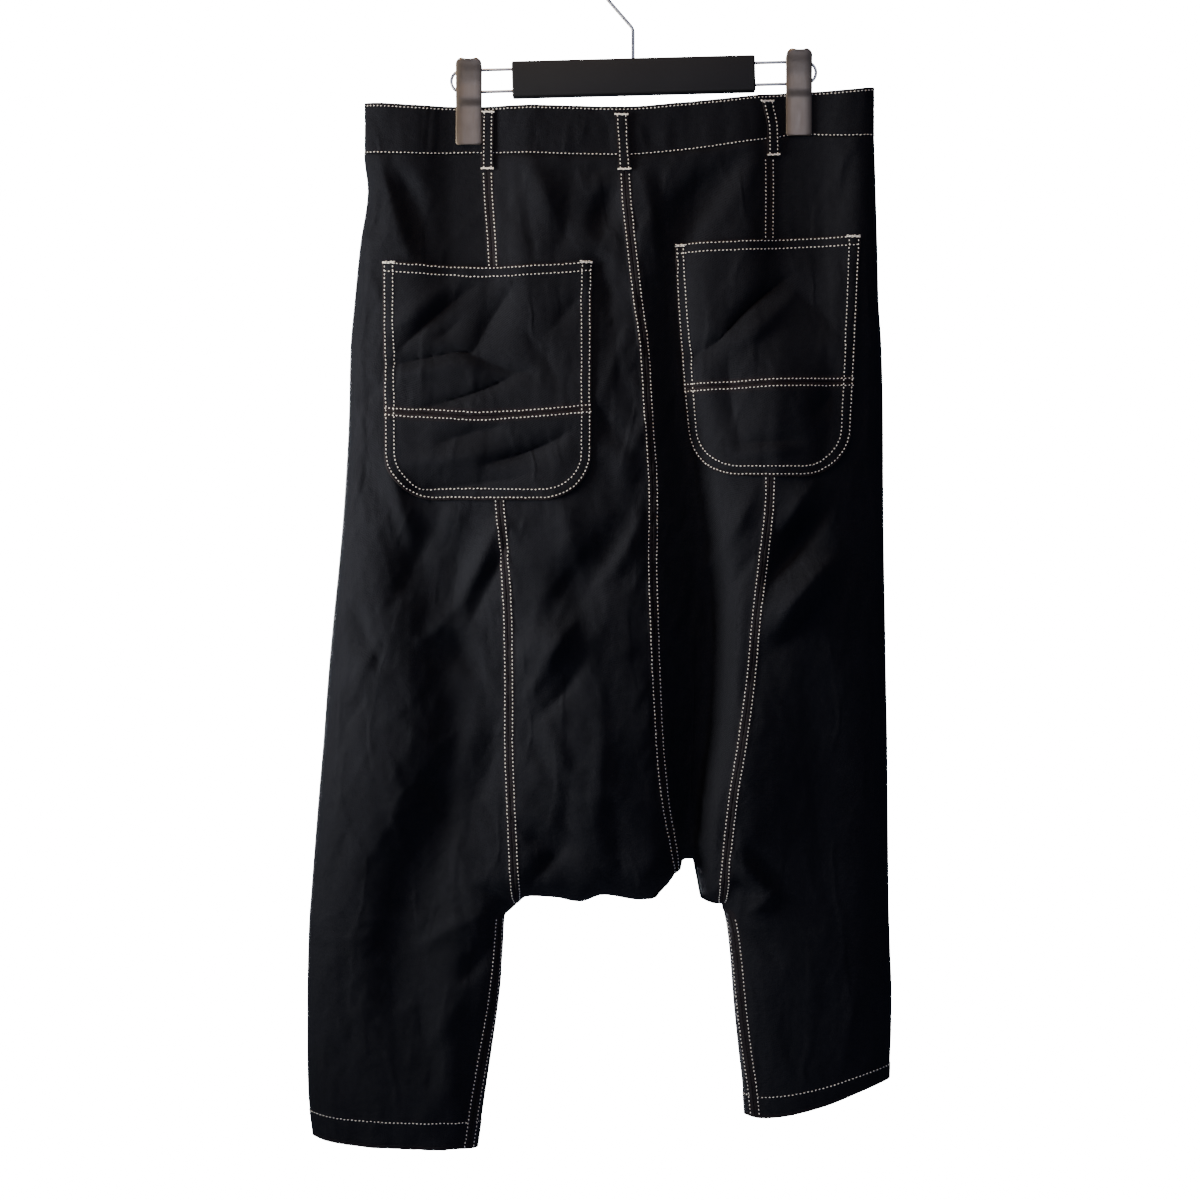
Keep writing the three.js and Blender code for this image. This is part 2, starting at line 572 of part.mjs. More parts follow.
function toManifold(geometry) {
  const bare = geometry.index ? geometry.clone() : geometry;
  bare.deleteAttribute('normal');
  bare.deleteAttribute('uv');
  const merged = mergeVertices(bare, 1e-4);
  return new wasm.Manifold(new wasm.Mesh({
    numProp: 3,
    vertProperties: new Float32Array(merged.getAttribute('position').array),
    triVerts: new Uint32Array(merged.getIndex().array),
  }));
}

function fromManifold(solid) {
  const mesh = solid.getMesh();
  const geometry = new THREE.BufferGeometry();
  geometry.setAttribute('position', new THREE.BufferAttribute(mesh.vertProperties, 3));
  geometry.setIndex(new THREE.BufferAttribute(mesh.triVerts, 1));
  return geometry;
}

/** Drills round holes, each a cylinder already in its place, out of a body. */
function drilled(geometry, drills) {
  const cut = drills.reduce((solid, drill) => solid.subtract(toManifold(drill)), toManifold(geometry));
  return fromManifold(cut);
}

/** The bar: a long block with rounded edges, bored for the hook's stem and the rails' ends. */
function bar() {
  const { length, height, depth, round: r } = BAR;
  const [x, z, c] = [length / 2 - r, height / 2 - r, 2];
  const face = new THREE.Shape();
  face.moveTo(-x + c, -z).lineTo(x - c, -z).absarc(x - c, -z + c, c, -Math.PI / 2, 0);
  face.absarc(x - c, z - c, c, 0, Math.PI / 2).absarc(-x + c, z - c, c, Math.PI / 2, Math.PI);
  face.absarc(-x + c, -z + c, c, Math.PI, 1.5 * Math.PI);
  const block = new THREE.ExtrudeGeometry(face, {
    depth: depth - 2 * r, curveSegments: 2, bevelThickness: r, bevelSize: r, bevelSegments: 2,
  });
  block.translate(0, 0, r - depth / 2).rotateX(Math.PI / 2);
  const stem = new THREE.CylinderGeometry(HOOK.wire + FIT, HOOK.wire + FIT, HOOK.root + 20, 14);
  stem.rotateX(Math.PI / 2).translate(0, 0, (HOOK.root + 20) / 2 - HOOK.root);
  stem.rotateY(radians(TILT)).translate(Math.sin(radians(TILT)) * (height / 2) - BAR.x, 0, height / 2);
  const ends = [-1, 1].flatMap((sign) => [-1, 1].map((level) => {
    const hole = new THREE.CylinderGeometry(RAIL.radius + FIT, RAIL.radius + FIT, 2 * RAIL.root, 12);
    return hole.rotateZ(Math.PI / 2).translate((sign * length) / 2, 0, level * RAIL.offset);
  }));
  return drilled(block, [stem, ...ends]);
}

/** One jaw of a clip: a bowed plate with rounded upper corners, spread at its top and flat below. */
function jaw(clip, side) {
  const rows = table('down spread', [[0, 7.6], [0.5, 7.5], [2, 7.2], [4.5, 6.8], [12, 5.4], [23, 4.3],
    [32, 4.3], [41, NIP + BAND / 2 + FIT], [56, NIP + BAND / 2 + FIT], [CLIP_HEIGHT, NIP + BAND / 2 + FIT]]);
  const point = (u, v) => {
    const down = between(rows.map((row) => row.down), v);
    const spread = between(rows.map((row) => row.spread), v);
    const corner = clamp(1 - down / CLIP_CORNER, 0, 1);
    const half = CLIP_WIDTH / 2 - CLIP_CORNER * (1 - Math.sqrt(1 - corner * corner));
    const bow = CLIP_BOW * (1 - Math.abs(u) ** 3);
    return new THREE.Vector3(clip.x + u * half, outwards(side) * (spread + JAW / 2 + bow), clip.top - down);
  };
  return wall([-1, -0.82, -0.5, 0, 0.5, 0.82, 1], rows.map((_, i) => i), point, JAW);
}

/** The saddle between a clip's jaws, with a hole for each wire of the rail that it rides on. */
function saddle(clip) {
  const block = new THREE.BoxGeometry(SADDLE.width, SADDLE.depth, SADDLE.height);
  const x = clip.x - BAR.x;
  const holes = [-1, 1].map((level) => {
    const hole = new THREE.CylinderGeometry(RAIL.radius + FIT, RAIL.radius + FIT, 2 * SADDLE.width, 12);
    return hole.rotateZ(Math.PI / 2).translate(0, 0, level * RAIL.offset);
  });
  return drilled(block, holes).translate(x, 0, 0);
}

const group = new THREE.Group();

function add(name, geometry, material, parent = group) {
  const mesh = new THREE.Mesh(geometry, material);
  mesh.name = name;
  parent.add(mesh);
  return mesh;
}

add('leg_left', legPanel('left'), clothFinish());
add('leg_right', legPanel('right'), clothFinish());
add('seat_back_left', seatPanel('back', 'princessLeft', 'centre', 9), clothFinish());
add('seat_back_right', seatPanel('back', 'centre', 'princessRight', 11), clothFinish());
add('seat_front_left', seatPanel('front', 'princessLeft', 'frontCentre', 8), clothFinish());
add('seat_front_right', seatPanel('front', 'frontCentre', 'princessRight', 8), clothFinish());
add('waistband', waistband(), clothFinish());
for (const [name, { side, line }] of Object.entries(LOOPS)) {
  add(name, beltLoop(side, table('z x', line)), clothFinish());
}
for (const [side, pocket] of Object.entries(POCKETS)) {
  add(`pocket_${side}_upper`, pocketPiece(pocket, 'upper'), clothFinish());
  add(`pocket_${side}_lower`, pocketPiece(pocket, 'lower'), clothFinish());
}
add('fly_lap', flyLap(), clothFinish());
const button = add('waist_button', waistButton(), steelFinish(colours.button, 0.45));
button.position.set(BUTTON.x, bulge('front', BUTTON.x, levelAt(BUTTON.x, BUTTON.z)) + BAND / 2 + FIT + 0.2, BUTTON.z);

add('hanger_hook', hook(), steelFinish(colours.wire, 0.3));
const carrier = new THREE.Group();
carrier.position.set(BAR.x, 0, BAR.z);
carrier.rotation.y = -radians(TILT);
group.add(carrier);
add('hanger_bar', bar(), new THREE.MeshStandardMaterial({ color: colours.bar, roughness: 0.8 }), carrier);
for (const [name, sign, clip] of [['left', -1, CLIP_LEFT], ['right', 1, CLIP_RIGHT]]) {
  add(`hanger_rail_${name}`, rail(sign), steelFinish(colours.wire, 0.3), carrier);
  add(`clip_${name}_saddle`, saddle(clip), steelFinish(colours.clip, 0.5), carrier);
  add(`clip_${name}_back_jaw`, jaw(clip, 'back'), steelFinish(colours.clip, 0.4));
  add(`clip_${name}_front_jaw`, jaw(clip, 'front'), steelFinish(colours.clip, 0.4));
}


export default group;
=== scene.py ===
"""Black drop-crotch trousers with cream twin-needle stitching, hung by the waistband from a clip hanger.

The trousers' back faces the camera, along +Y. Every cloth piece is a thin closed shell on one hanging
surface, which is worked out from short tables in millimetres: the outline, the lengthwise seams, the
depth, the large folds and the small creases.
"""
import logging
import math
from dataclasses import dataclass, field
from enum import Enum

import bmesh
import bpy
import numpy as np
from mathutils import Matrix, Vector


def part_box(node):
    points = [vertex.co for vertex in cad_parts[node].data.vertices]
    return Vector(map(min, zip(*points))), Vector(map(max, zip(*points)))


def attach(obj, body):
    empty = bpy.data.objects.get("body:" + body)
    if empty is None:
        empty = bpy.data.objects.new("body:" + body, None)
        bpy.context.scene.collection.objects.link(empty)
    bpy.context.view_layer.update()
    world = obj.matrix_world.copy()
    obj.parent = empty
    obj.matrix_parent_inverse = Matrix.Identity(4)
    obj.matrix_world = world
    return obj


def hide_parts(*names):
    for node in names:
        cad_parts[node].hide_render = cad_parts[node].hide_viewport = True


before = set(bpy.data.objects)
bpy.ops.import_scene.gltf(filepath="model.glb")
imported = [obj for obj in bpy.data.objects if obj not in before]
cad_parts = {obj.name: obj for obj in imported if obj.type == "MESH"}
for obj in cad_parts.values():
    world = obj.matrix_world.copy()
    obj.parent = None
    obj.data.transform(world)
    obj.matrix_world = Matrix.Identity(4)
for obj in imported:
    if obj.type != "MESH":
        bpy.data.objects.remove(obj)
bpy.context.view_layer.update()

LOG = logging.getLogger("harem_pants")
MM = 0.001

# Cloth and sewing, in millimetres, as in the part's solids.
CLOTH = 1.2
BAND = 2.0
SEAM = 0.35
BAND_TOP = -134.0
BAND_FOOT = -177.0
CROTCH = -813.0
EASE_END = -240.0
NIP = 1.45
NIP_HALF = 13.0
NIP_FADE = 38.0
NIP_END = -400.0
CROTCH_ROUND = 30.0
SHANK_ROUND = 46.0
LOOP_WIDTH, LOOP_WALL, LOOP_GAP, LOOP_SLACK = 10.2, 1.5, 0.5, 0.5
POCKET_GAP, POCKET_SLACK = 0.8, 1.6
LAP_UNDER, LAP_OVER = -22.0, 13.0
STITCH = 3.3            # one stitch of the topstitching with its hole
TWIN = 6.9               # between the two rows of the twin needle
THREAD = 0.44            # half the width of the topstitching thread

# Clips and hanger, in millimetres.
CLIP_X = {"left": -139.4, "right": 140.9}
CLIP_TOP = {"left": -96.7, "right": -88.8}
CLIP_WIDTH, CLIP_HEIGHT, CLIP_CORNER, CLIP_BOW, JAW = 21.6, 72.4, 4.5, 1.1, 1.2
BAR_X, BAR_Z, BAR_LENGTH, BAR_HEIGHT, BAR_DEPTH, BAR_ROUND = 0.5, -111.0, 206.5, 30.5, 14.0, 3.0
TILT = 1.5
RAIL_OFFSET, RAIL_RADIUS, RAIL_REACH, RAIL_ROOT = 9.3, 1.3, 155.0, 12.0
HOOK_RADIUS, HOOK_WIRE, HOOK_TIP, HOOK_LEAVE = 28.3, 1.5, -35.0, 221.0


class Side(Enum):
    """The two faces of the hanging trousers."""

    BACK = -1.0
    FRONT = 1.0


class Leg(Enum):
    """The two legs, named as they hang in the view of the back."""

    LEFT = "left"
    RIGHT = "right"

    @property
    def inward(self) -> float:
        """The sign of x from the leg's outer edge to its inseam."""
        return 1.0 if self is Leg.LEFT else -1.0

    @property
    def princess(self) -> str:
        """The column that holds the seam between this leg and the seat."""
        return "princess_left" if self is Leg.LEFT else "princess_right"


def mix(a: np.ndarray | float, b: np.ndarray | float, t: np.ndarray | float) -> np.ndarray | float:
    """Returns the value a share t of the way from a to b."""
    return a + (b - a) * t


def fade(t: np.ndarray | float) -> np.ndarray | float:
    """Returns a smooth rise from 0 to 1 while t goes from 0 to 1."""
    k = np.clip(t, 0.0, 1.0)
    return k * k * (3.0 - 2.0 * k)


def round_over(distance: np.ndarray, radius: np.ndarray | float) -> np.ndarray:
    """Returns the height of a quarter round of one unit at a distance from its foot."""
    rest = 1.0 - np.clip(distance / radius, 0.0, 1.0)
    return np.sqrt(np.maximum(0.0, 1.0 - rest * rest))


@dataclass(frozen=True)
class Table:
    """A short table with named columns, read along smooth curves that keep its bends."""

    names: str
    rows: tuple[tuple[float, ...], ...]

    def column(self, name: str) -> np.ndarray:
        """Returns one column as an array."""
        return np.array([row[self.names.split().index(name)] for row in self.rows], dtype=float)

    def read(self, name: str, at: np.ndarray | float) -> np.ndarray:
        """Reads a column at places of the first column.

        Args:
            name: The column to read.
            at: Places along the table's first column, in any shape.

        Returns:
            The values there, held at the ends of the table.
        """
        keys, values = self.column(self.names.split()[0]), self.column(name)
        if keys[0] > keys[-1]:
            keys, values = keys[::-1], values[::-1]
        at = np.clip(np.asarray(at, dtype=float), keys[0], keys[-1])
        spans = np.diff(keys)
        slopes = np.diff(values) / spans
        tangents = np.empty_like(values)
        tangents[0], tangents[-1] = slopes[0], slopes[-1]
        product = slopes[:-1] * slopes[1:]
        total = slopes[:-1] + slopes[1:]
        safe = np.where(np.abs(total) < 1e-12, 1.0, total)
        tangents[1:-1] = np.where(product <= 0, 0.0, 2.0 * product / safe)
        i = np.clip(np.searchsorted(keys, at, side="right") - 1, 0, len(keys) - 2)
        t = (at - keys[i]) / spans[i]
        a, b = values[i], values[i + 1]
        u, v = tangents[i] * spans[i], tangents[i + 1] * spans[i]
        return a + t * (u + t * (3.0 * (b - a) - 2.0 * u - v + t * (u + v - 2.0 * (b - a))))


BODY = Table("z left princess_left centre princess_right right front_centre depth", (
    (-134, -226, -124, -7.5, 115, 203.6, -1, 9),
    (-177, -228, -124, -7.5, 115.3, 204.4, -1, 10),
    (-207, -225, -123, -6, 115.5, 205.6, 0, 12),
    (-255, -231.5, -119.5, -1.5, 115, 207.2, 1, 15),
    (-300, -236, -117.7, 3.5, 115.3, 208.2, 2, 18),
    (-343, -239.7, -116.5, 9.2, 115.6, 210.8, 4, 21),
    (-400, -241, -114.5, 12.5, 115.6, 212, 7, 24),
    (-470, -244.8, -112.5, 16.6, 114.2, 212.3, 10, 27),
    (-521, -249, -108, 16, 108.8, 212.9, 12, 29),
    (-572, -254.2, -105.2, 17.2, 102.8, 213.8, 15, 31),
    (-623, -258.8, -104.5, 19, 98, 214.6, 16, 32),
    (-675, -262.6, -104.6, 21.6, 91, 215.6, 18, 33),
    (-725, -266.9, -102.8, 26.4, 83, 216, 22, 33),
    (-768, -270.3, -101, 34, 78.6, 216.4, 29, 31),
    (-813, -273.7, -99, 40, 75.5, 216.8, 36, 30),
))
SHANKS = {
    Leg.LEFT: Table("z outer inner inseam depth", (
        (-813, -273.7, -99, -99, 30),
        (-823, -274.5, -109.6, -112.6, 29.8),
        (-853, -275.6, -111.3, -114.8, 29),
        (-895, -276.3, -114.8, -119.6, 27.5),
        (-938, -276.3, -120.7, -126.8, 25.5),
        (-980, -275.6, -127, -134, 23.5),
        (-1019.6, -271.5, -132.6, -139.9, 21.5),
    )),
    Leg.RIGHT: Table("z outer inner inseam depth", (
        (-813, 216.8, 75.5, 75.5, 30),
        (-823, 217.1, 78.6, 83, 29.8),
        (-853, 218, 82.5, 88, 28.8),
        (-895, 219.3, 85.8, 92, 27),
        (-938, 218.9, 90.1, 97, 24.5),
        (-965, 218, 93.2, 101, 22.7),
        (-991.5, 217.4, 95.2, 104, 21),
    )),
}
SEAT_EDGE = Table("x z", (
    (-99, -813), (-87.5, -806.5), (-62, -807.9), (-45, -811.2), (-25.5, -805.4), (6, -809.6),
    (15, -808.6), (23, -801), (31.5, -793.5), (38, -786.5), (43.4, -774.8), (52.7, -774.8),
    (56, -793.5), (58.8, -807.9), (75.5, -813),
))
WAIST = Table("x top foot", (
    (-229, -133.2, -176.8), (-181, -136.2, -178), (-139.4, -136.8, -176.6), (-87.5, -136, -177.6),
    (-11, -137.7, -179.3), (42.5, -134, -175.3), (89, -129.4, -168.8), (111, -126.6, -165.3),
    (143.7, -124.5, -160.8), (184.4, -122.6, -162.6), (205, -119.8, -161.5),
))
HEMS = {
    Leg.LEFT: Table("x z", ((-275, -1008.2), (-257, -1012.9), (-215, -1017), (-172, -1018.8), (-132.6, -1019.6))),
    Leg.RIGHT: Table("x z", ((95, -991.5), (108, -993.2), (125, -991.3), (159, -983), (193, -970.3), (218, -960.7))),
}
POCKET_GROUNDS = ((-211.0, -35.0, -269.0, -471.0), (36.0, 190.0, -248.0, -452.0))
HEM_ROW = {Leg.LEFT: 22.5, Leg.RIGHT: 17.6}     # height of the hem's stitching above its edge

# Soft troughs, with a positive depth, and ridges, with a negative one: side, two ends, depth, width.
LARGE_FOLDS = (
    (Side.BACK, -134, -486, -156, -560, 4, 15),
    (Side.BACK, -142, -850, -150, -990, 3.8, 17),
    (Side.BACK, -8, -500, -52, -574, 5.0, 18),
    (Side.BACK, -92, -607, -56, -582, -4, 16),
    (Side.BACK, -76, -720, -50, -790, 4.5, 20),
    (Side.BACK, 112, -580, 166, -526, -6.5, 17),
    (Side.BACK, 118, -540, 156, -486, 5.0, 13),
    (Side.BACK, 108, -645, 100, -790, -4, 22),
    (Side.BACK, 150, -620, 158, -800, 2.4, 24),
    (Side.BACK, 34, -250, 88, -196, 7.5, 18),
    (Side.BACK, 28, -250, 98, -197, -3.5, 12),
    (Side.BACK, -202, -196, -180, -258, 5.5, 14),
    (Side.BACK, -18, -210, -29, -246, 4.8, 13),
    (Side.FRONT, -60, -240, -20, -420, 5.5, 24),
    (Side.FRONT, 70, -260, 40, -430, 6, 24),
    (Side.FRONT, -40, -470, -30, -700, 12, 24),
    (Side.FRONT, 52, -520, 50, -720, 15, 22),
    (Side.FRONT, -190, -480, -170, -760, 9, 26),
    (Side.FRONT, 160, -460, 146, -760, 9, 26),
    (Side.FRONT, -200, -850, -190, -960, 6, 20),
    (Side.FRONT, 150, -850, 156, -940, 6, 20),
)
# Creases that only show from near: the same columns as the large folds.
SMALL_CREASES = (
    # Beside and under the waistband.
    (Side.BACK, -214, -188, -192, -258, -3.0, 9),
    (Side.BACK, -212, -212, -222, -250, 2.0, 8),
    (Side.BACK, -106, -186, -103, -232, 2.6, 6),
    (Side.BACK, -90, -184, -66, -240, -2.8, 9),
    (Side.BACK, -94, -196, -84, -262, 2.4, 7),
    (Side.BACK, -50, -186, -58, -256, 2.0, 9),
    (Side.BACK, -40, -198, -22, -186, 1.8, 6),
    (Side.BACK, -32, -262, -18, -300, 2.4, 8),
    (Side.BACK, 8, -196, 16, -246, -2.0, 7),
    (Side.BACK, 22, -200, 24, -262, 2.2, 8),
    (Side.BACK, 134, -180, 132, -236, -2.4, 8),
    (Side.BACK, 158, -184, 152, -236, 2.4, 10),
    (Side.BACK, 186, -196, 172, -232, 2.0, 8),
    # The left pocket, whose cloth follows what lies under it.
    (Side.BACK, -196, -322, -148, -282, -3.2, 9),
    (Side.BACK, -190, -340, -134, -293, 4.2, 6),
    (Side.BACK, -166, -334, -146, -318, 2.4, 5),
    (Side.BACK, -134, -346, -102, -296, 4.8, 9),
    (Side.BACK, -200, -357, -138, -346, 3.6, 6),
    (Side.BACK, -146, -346, -90, -363, 3.4, 6),
    (Side.BACK, -190, -368, -116, -360, -3.0, 8),
    (Side.BACK, -170, -390, -100, -365, 3.6, 6),
    (Side.BACK, -68, -326, -46, -300, 1.8, 7),
    (Side.BACK, -90, -332, -60, -380, 2.2, 10),
    (Side.BACK, -118, -437, -60, -416, 5.6, 7),
    (Side.BACK, -160, -424, -112, -412, 3.2, 8),
    (Side.BACK, -190, -440, -120, -430, -2.8, 8),
    (Side.BACK, -184, -462, -100, -452, 3.6, 9),
    # The right pocket, with a long crease from its mouth to its side.
    (Side.BACK, 80, -332, 130, -286, 5.7, 7),
    (Side.BACK, 92, -336, 132, -298, -3.6, 7),
    (Side.BACK, 128, -286, 170, -330, 3.3, 11),
    (Side.BACK, 52, -352, 74, -336, 3.9, 8),
    (Side.BACK, 128, -334, 124, -452, -2.6, 14),
    (Side.BACK, 160, -346, 154, -442, 2.4, 12),
    (Side.BACK, 82, -356, 90, -420, 3.9, 12),
    (Side.BACK, 92, -424, 138, -421, 2.1, 5),
    (Side.BACK, 96, -434, 132, -431, -1.8, 5),
    (Side.BACK, 150, -400, 166, -382, 2.4, 7),
    # Between the pockets, beside the centre seam.
    (Side.BACK, -24, -300, -16, -372, 2.6, 9),
    (Side.BACK, -28, -384, -6, -330, -2.2, 8),
    (Side.BACK, -26, -400, 2, -432, 2.6, 8),
    (Side.BACK, -8, -452, 12, -404, -2.6, 8),
    # The outer edge of the left leg.
    (Side.BACK, -234, -392, -214, -374, 2.6, 7),
    (Side.BACK, -224, -300, -230, -352, 2.0, 8),
    (Side.BACK, -206, -446, -188, -506, -3.6, 9),
    (Side.BACK, -228, -430, -214, -470, 2.2, 8),
    (Side.BACK, -240, -560, -214, -612, 2.6, 9),
    (Side.BACK, -252, -640, -216, -592, -2.2, 9),
    (Side.BACK, -246, -664, -228, -640, 2.0, 7),
    (Side.BACK, -258, -700, -236, -668, 1.8, 8),
    (Side.BACK, -236, -742, -252, -800, 2.0, 10),
    # Left of the left princess seam.
    (Side.BACK, -168, -486, -206, -560, 3.0, 12),
    (Side.BACK, -117, -498, -146, -556, -4.6, 8),
    (Side.BACK, -108, -516, -134, -572, 4.4, 8),
    (Side.BACK, -152, -560, -178, -590, -2.6, 8),
    (Side.BACK, -150, -588, -132, -618, 4.2, 10),
    (Side.BACK, -132, -640, -142, -700, -2.6, 11),
    (Side.BACK, -118, -664, -128, -716, 2.0, 7),
    (Side.BACK, -136, -706, -120, -736, 1.8, 5),
    (Side.BACK, -128, -798, -106, -812, 3.4, 7),
    (Side.BACK, -150, -742, -138, -800, -2.4, 10),
    (Side.BACK, -176, -700, -148, -752, 2.4, 9),
    # Between the left princess seam and the centre seam.
    (Side.BACK, -70, -470, -44, -540, -2.8, 12),
    (Side.BACK, -25, -538, 3, -488, -4.4, 8),
    (Side.BACK, -66, -560, -40, -520, 2.6, 9),
    (Side.BACK, -86, -634, -52, -576, -4.4, 8),
    (Side.BACK, -76, -650, -44, -606, 3.8, 8),
    (Side.BACK, -88, -668, -70, -716, 2.4, 8),
    (Side.BACK, -72, -660, -50, -706, -2.6, 8),
    (Side.BACK, -52, -690, -58, -764, 2.6, 9),
    (Side.BACK, -30, -640, -34, -730, -3.0, 9),
    (Side.BACK, -16, -730, -6, -788, 3.6, 10),
    (Side.BACK, -84, -736, -58, -752, -3.0, 6),
    (Side.BACK, -86, -790, -60, -765, 4.6, 7),
    (Side.BACK, -88, -752, -66, -762, 2.6, 5),
    (Side.BACK, -60, -770, -30, -792, -2.6, 8),
    # Both sides of the right princess seam.
    (Side.BACK, 60, -528, 98, -468, -4.0, 10),
    (Side.BACK, 74, -560, 100, -520, 3.0, 9),
    (Side.BACK, 127, -494, 151, -460, -3.4, 9),
    (Side.BACK, 122, -528, 158, -486, 3.4, 10),
    (Side.BACK, 127, -568, 166, -526, -4.0, 8),
    (Side.BACK, 128, -588, 160, -556, 3.6, 8),
    (Side.BACK, 84, -640, 90, -560, -2.2, 10),
    (Side.BACK, 66, -700, 62, -790, -2.4, 8),
    # The creased diamond beside the right end of the seat.
    (Side.BACK, 84, -768, 117, -801, -3.6, 6),
    (Side.BACK, 117, -801, 98, -818, -3.0, 6),
    (Side.BACK, 86, -790, 100, -802, 3.6, 6),
    (Side.BACK, 96, -760, 124, -792, 2.6, 7),
    # The legs below the crotch.
    (Side.BACK, -112, -828, -144, -872, 4.6, 10),
    (Side.BACK, -128, -822, -176, -846, -3.0, 9),
    (Side.BACK, -134, -876, -170, -930, -2.4, 10),
    (Side.BACK, -122, -890, -136, -950, 2.4, 8),
    (Side.BACK, -150, -930, -146, -1000, -2.2, 9),
    (Side.BACK, -184, -900, -172, -968, 2.0, 10),
    (Side.BACK, -246, -868, -236, -930, 2.2, 9),
    (Side.BACK, -252, -930, -222, -984, 1.8, 10),
    (Side.BACK, 96, -836, 122, -862, 2.6, 8),
    (Side.BACK, 128, -880, 138, -950, 1.8, 10),
    (Side.BACK, 186, -880, 178, -950, -1.6, 10),
    # The front, which hangs much the same.
    (Side.FRONT, -90, -200, -80, -300, 2.2, 9),
    (Side.FRONT, 60, -200, 66, -280, 2.0, 9),
    (Side.FRONT, -110, -500, -70, -560, 3.2, 9),
    (Side.FRONT, -92, -520, -62, -590, -3.0, 9),
    (Side.FRONT, 96, -540, 70, -610, 3.2, 9),
    (Side.FRONT, -150, -600, -130, -700, 2.8, 10),
    (Side.FRONT, 176, -600, 150, -690, 2.8, 10),
    (Side.FRONT, -130, -832, -176, -812, 3.2, 9),
    (Side.FRONT, 96, -830, 146, -812, 2.8, 9),
    (Side.FRONT, -80, -740, -50, -790, 3.0, 8),
    (Side.FRONT, -10, -700, -20, -780, 2.8, 9),
    (Side.FRONT, -220, -560, -190, -640, 2.8, 11),
    (Side.FRONT, 188, -540, 170, -620, 2.6, 11),
    (Side.FRONT, -200, -720, -176, -800, 2.6, 11),
)
# The deep fold beside the centre-back seam: its floor, the reach of its slopes and its depth.
SEAT_FOLD = Table("z x left_reach right_reach depth", (
    (-190, 60, 18, 14, 0), (-215, 50, 19, 14, 4), (-250, 41, 17, 15, 8), (-300, 36, 17, 15, 12),
    (-360, 38, 18, 17, 15), (-430, 48, 22, 18, 19), (-480, 57, 28, 17, 22), (-515, 63, 31, 16, 25),
    (-600, 66, 34, 15, 28), (-655, 63, 32, 14, 29), (-698, 57, 28, 13, 28), (-745, 51, 23, 12, 27),
    (-775, 49, 18, 12, 14), (-813, 49, 10, 10, 8),
))
# The long fold that wanders down the left leg.
LEG_FOLD = Table("z x left_reach right_reach depth", (
    (-430, -194, 24, 36, 0), (-490, -186, 26, 44, 7), (-550, -169, 28, 54, 12), (-620, -152, 29, 62, 16),
    (-675, -146, 29, 62, 18), (-717, -155, 29, 60, 18), (-768, -176, 29, 56, 17.5), (-802, -189, 28, 54, 16.5),
    (-845, -196, 27, 50, 14), (-887, -199, 26, 46, 11), (-929, -195, 24, 40, 6), (-975, -190, 24, 36, 0),
))
# The broad crests on both sides of the deep fold, which stand out, so that their depth is negative.
LEFT_CREST = Table("z x left_reach right_reach depth", (
    (-330, -40, 40, 36, 0), (-440, -48, 50, 42, -4), (-560, -46, 56, 46, -8), (-700, -52, 50, 46, -7),
    (-813, -50, 40, 36, 0),
))
RIGHT_CREST = Table("z x left_reach right_reach depth", (
    (-230, 124, 46, 50, 0), (-330, 130, 54, 50, -5), (-430, 124, 50, 56, -6), (-550, 106, 42, 60, -6),
    (-700, 90, 30, 60, -5),
    (-813, 92, 24, 50, 0),
))
LONG_FOLDS = (SEAT_FOLD, LEG_FOLD, LEFT_CREST, RIGHT_CREST)


class SoftNoise:
    """Smooth seeded noise over a plane, for the small irregular wrinkles of worn drill."""

    def __init__(self, seed: int) -> None:
        """Fills the lattice.

        Args:
            seed: Chooses the lattice, so that each run gives the same cloth.
        """
        self.lattice = np.random.default_rng(seed).uniform(-1.0, 1.0, (97, 97))

    def at(self, x: np.ndarray, y: np.ndarray) -> np.ndarray:
        """Returns the noise, from -1 to 1, at places given in lattice cells."""
        i, j = np.floor(x).astype(int), np.floor(y).astype(int)
        u, v = x - i, y - j
        u, v = u * u * u * (u * (u * 6 - 15) + 10), v * v * v * (v * (v * 6 - 15) + 10)
        pick = lambda a, b: self.lattice[a % 97, b % 97]
        top = mix(pick(i, j), pick(i + 1, j), u)
        foot = mix(pick(i, j + 1), pick(i + 1, j + 1), u)
        return mix(top, foot, v)


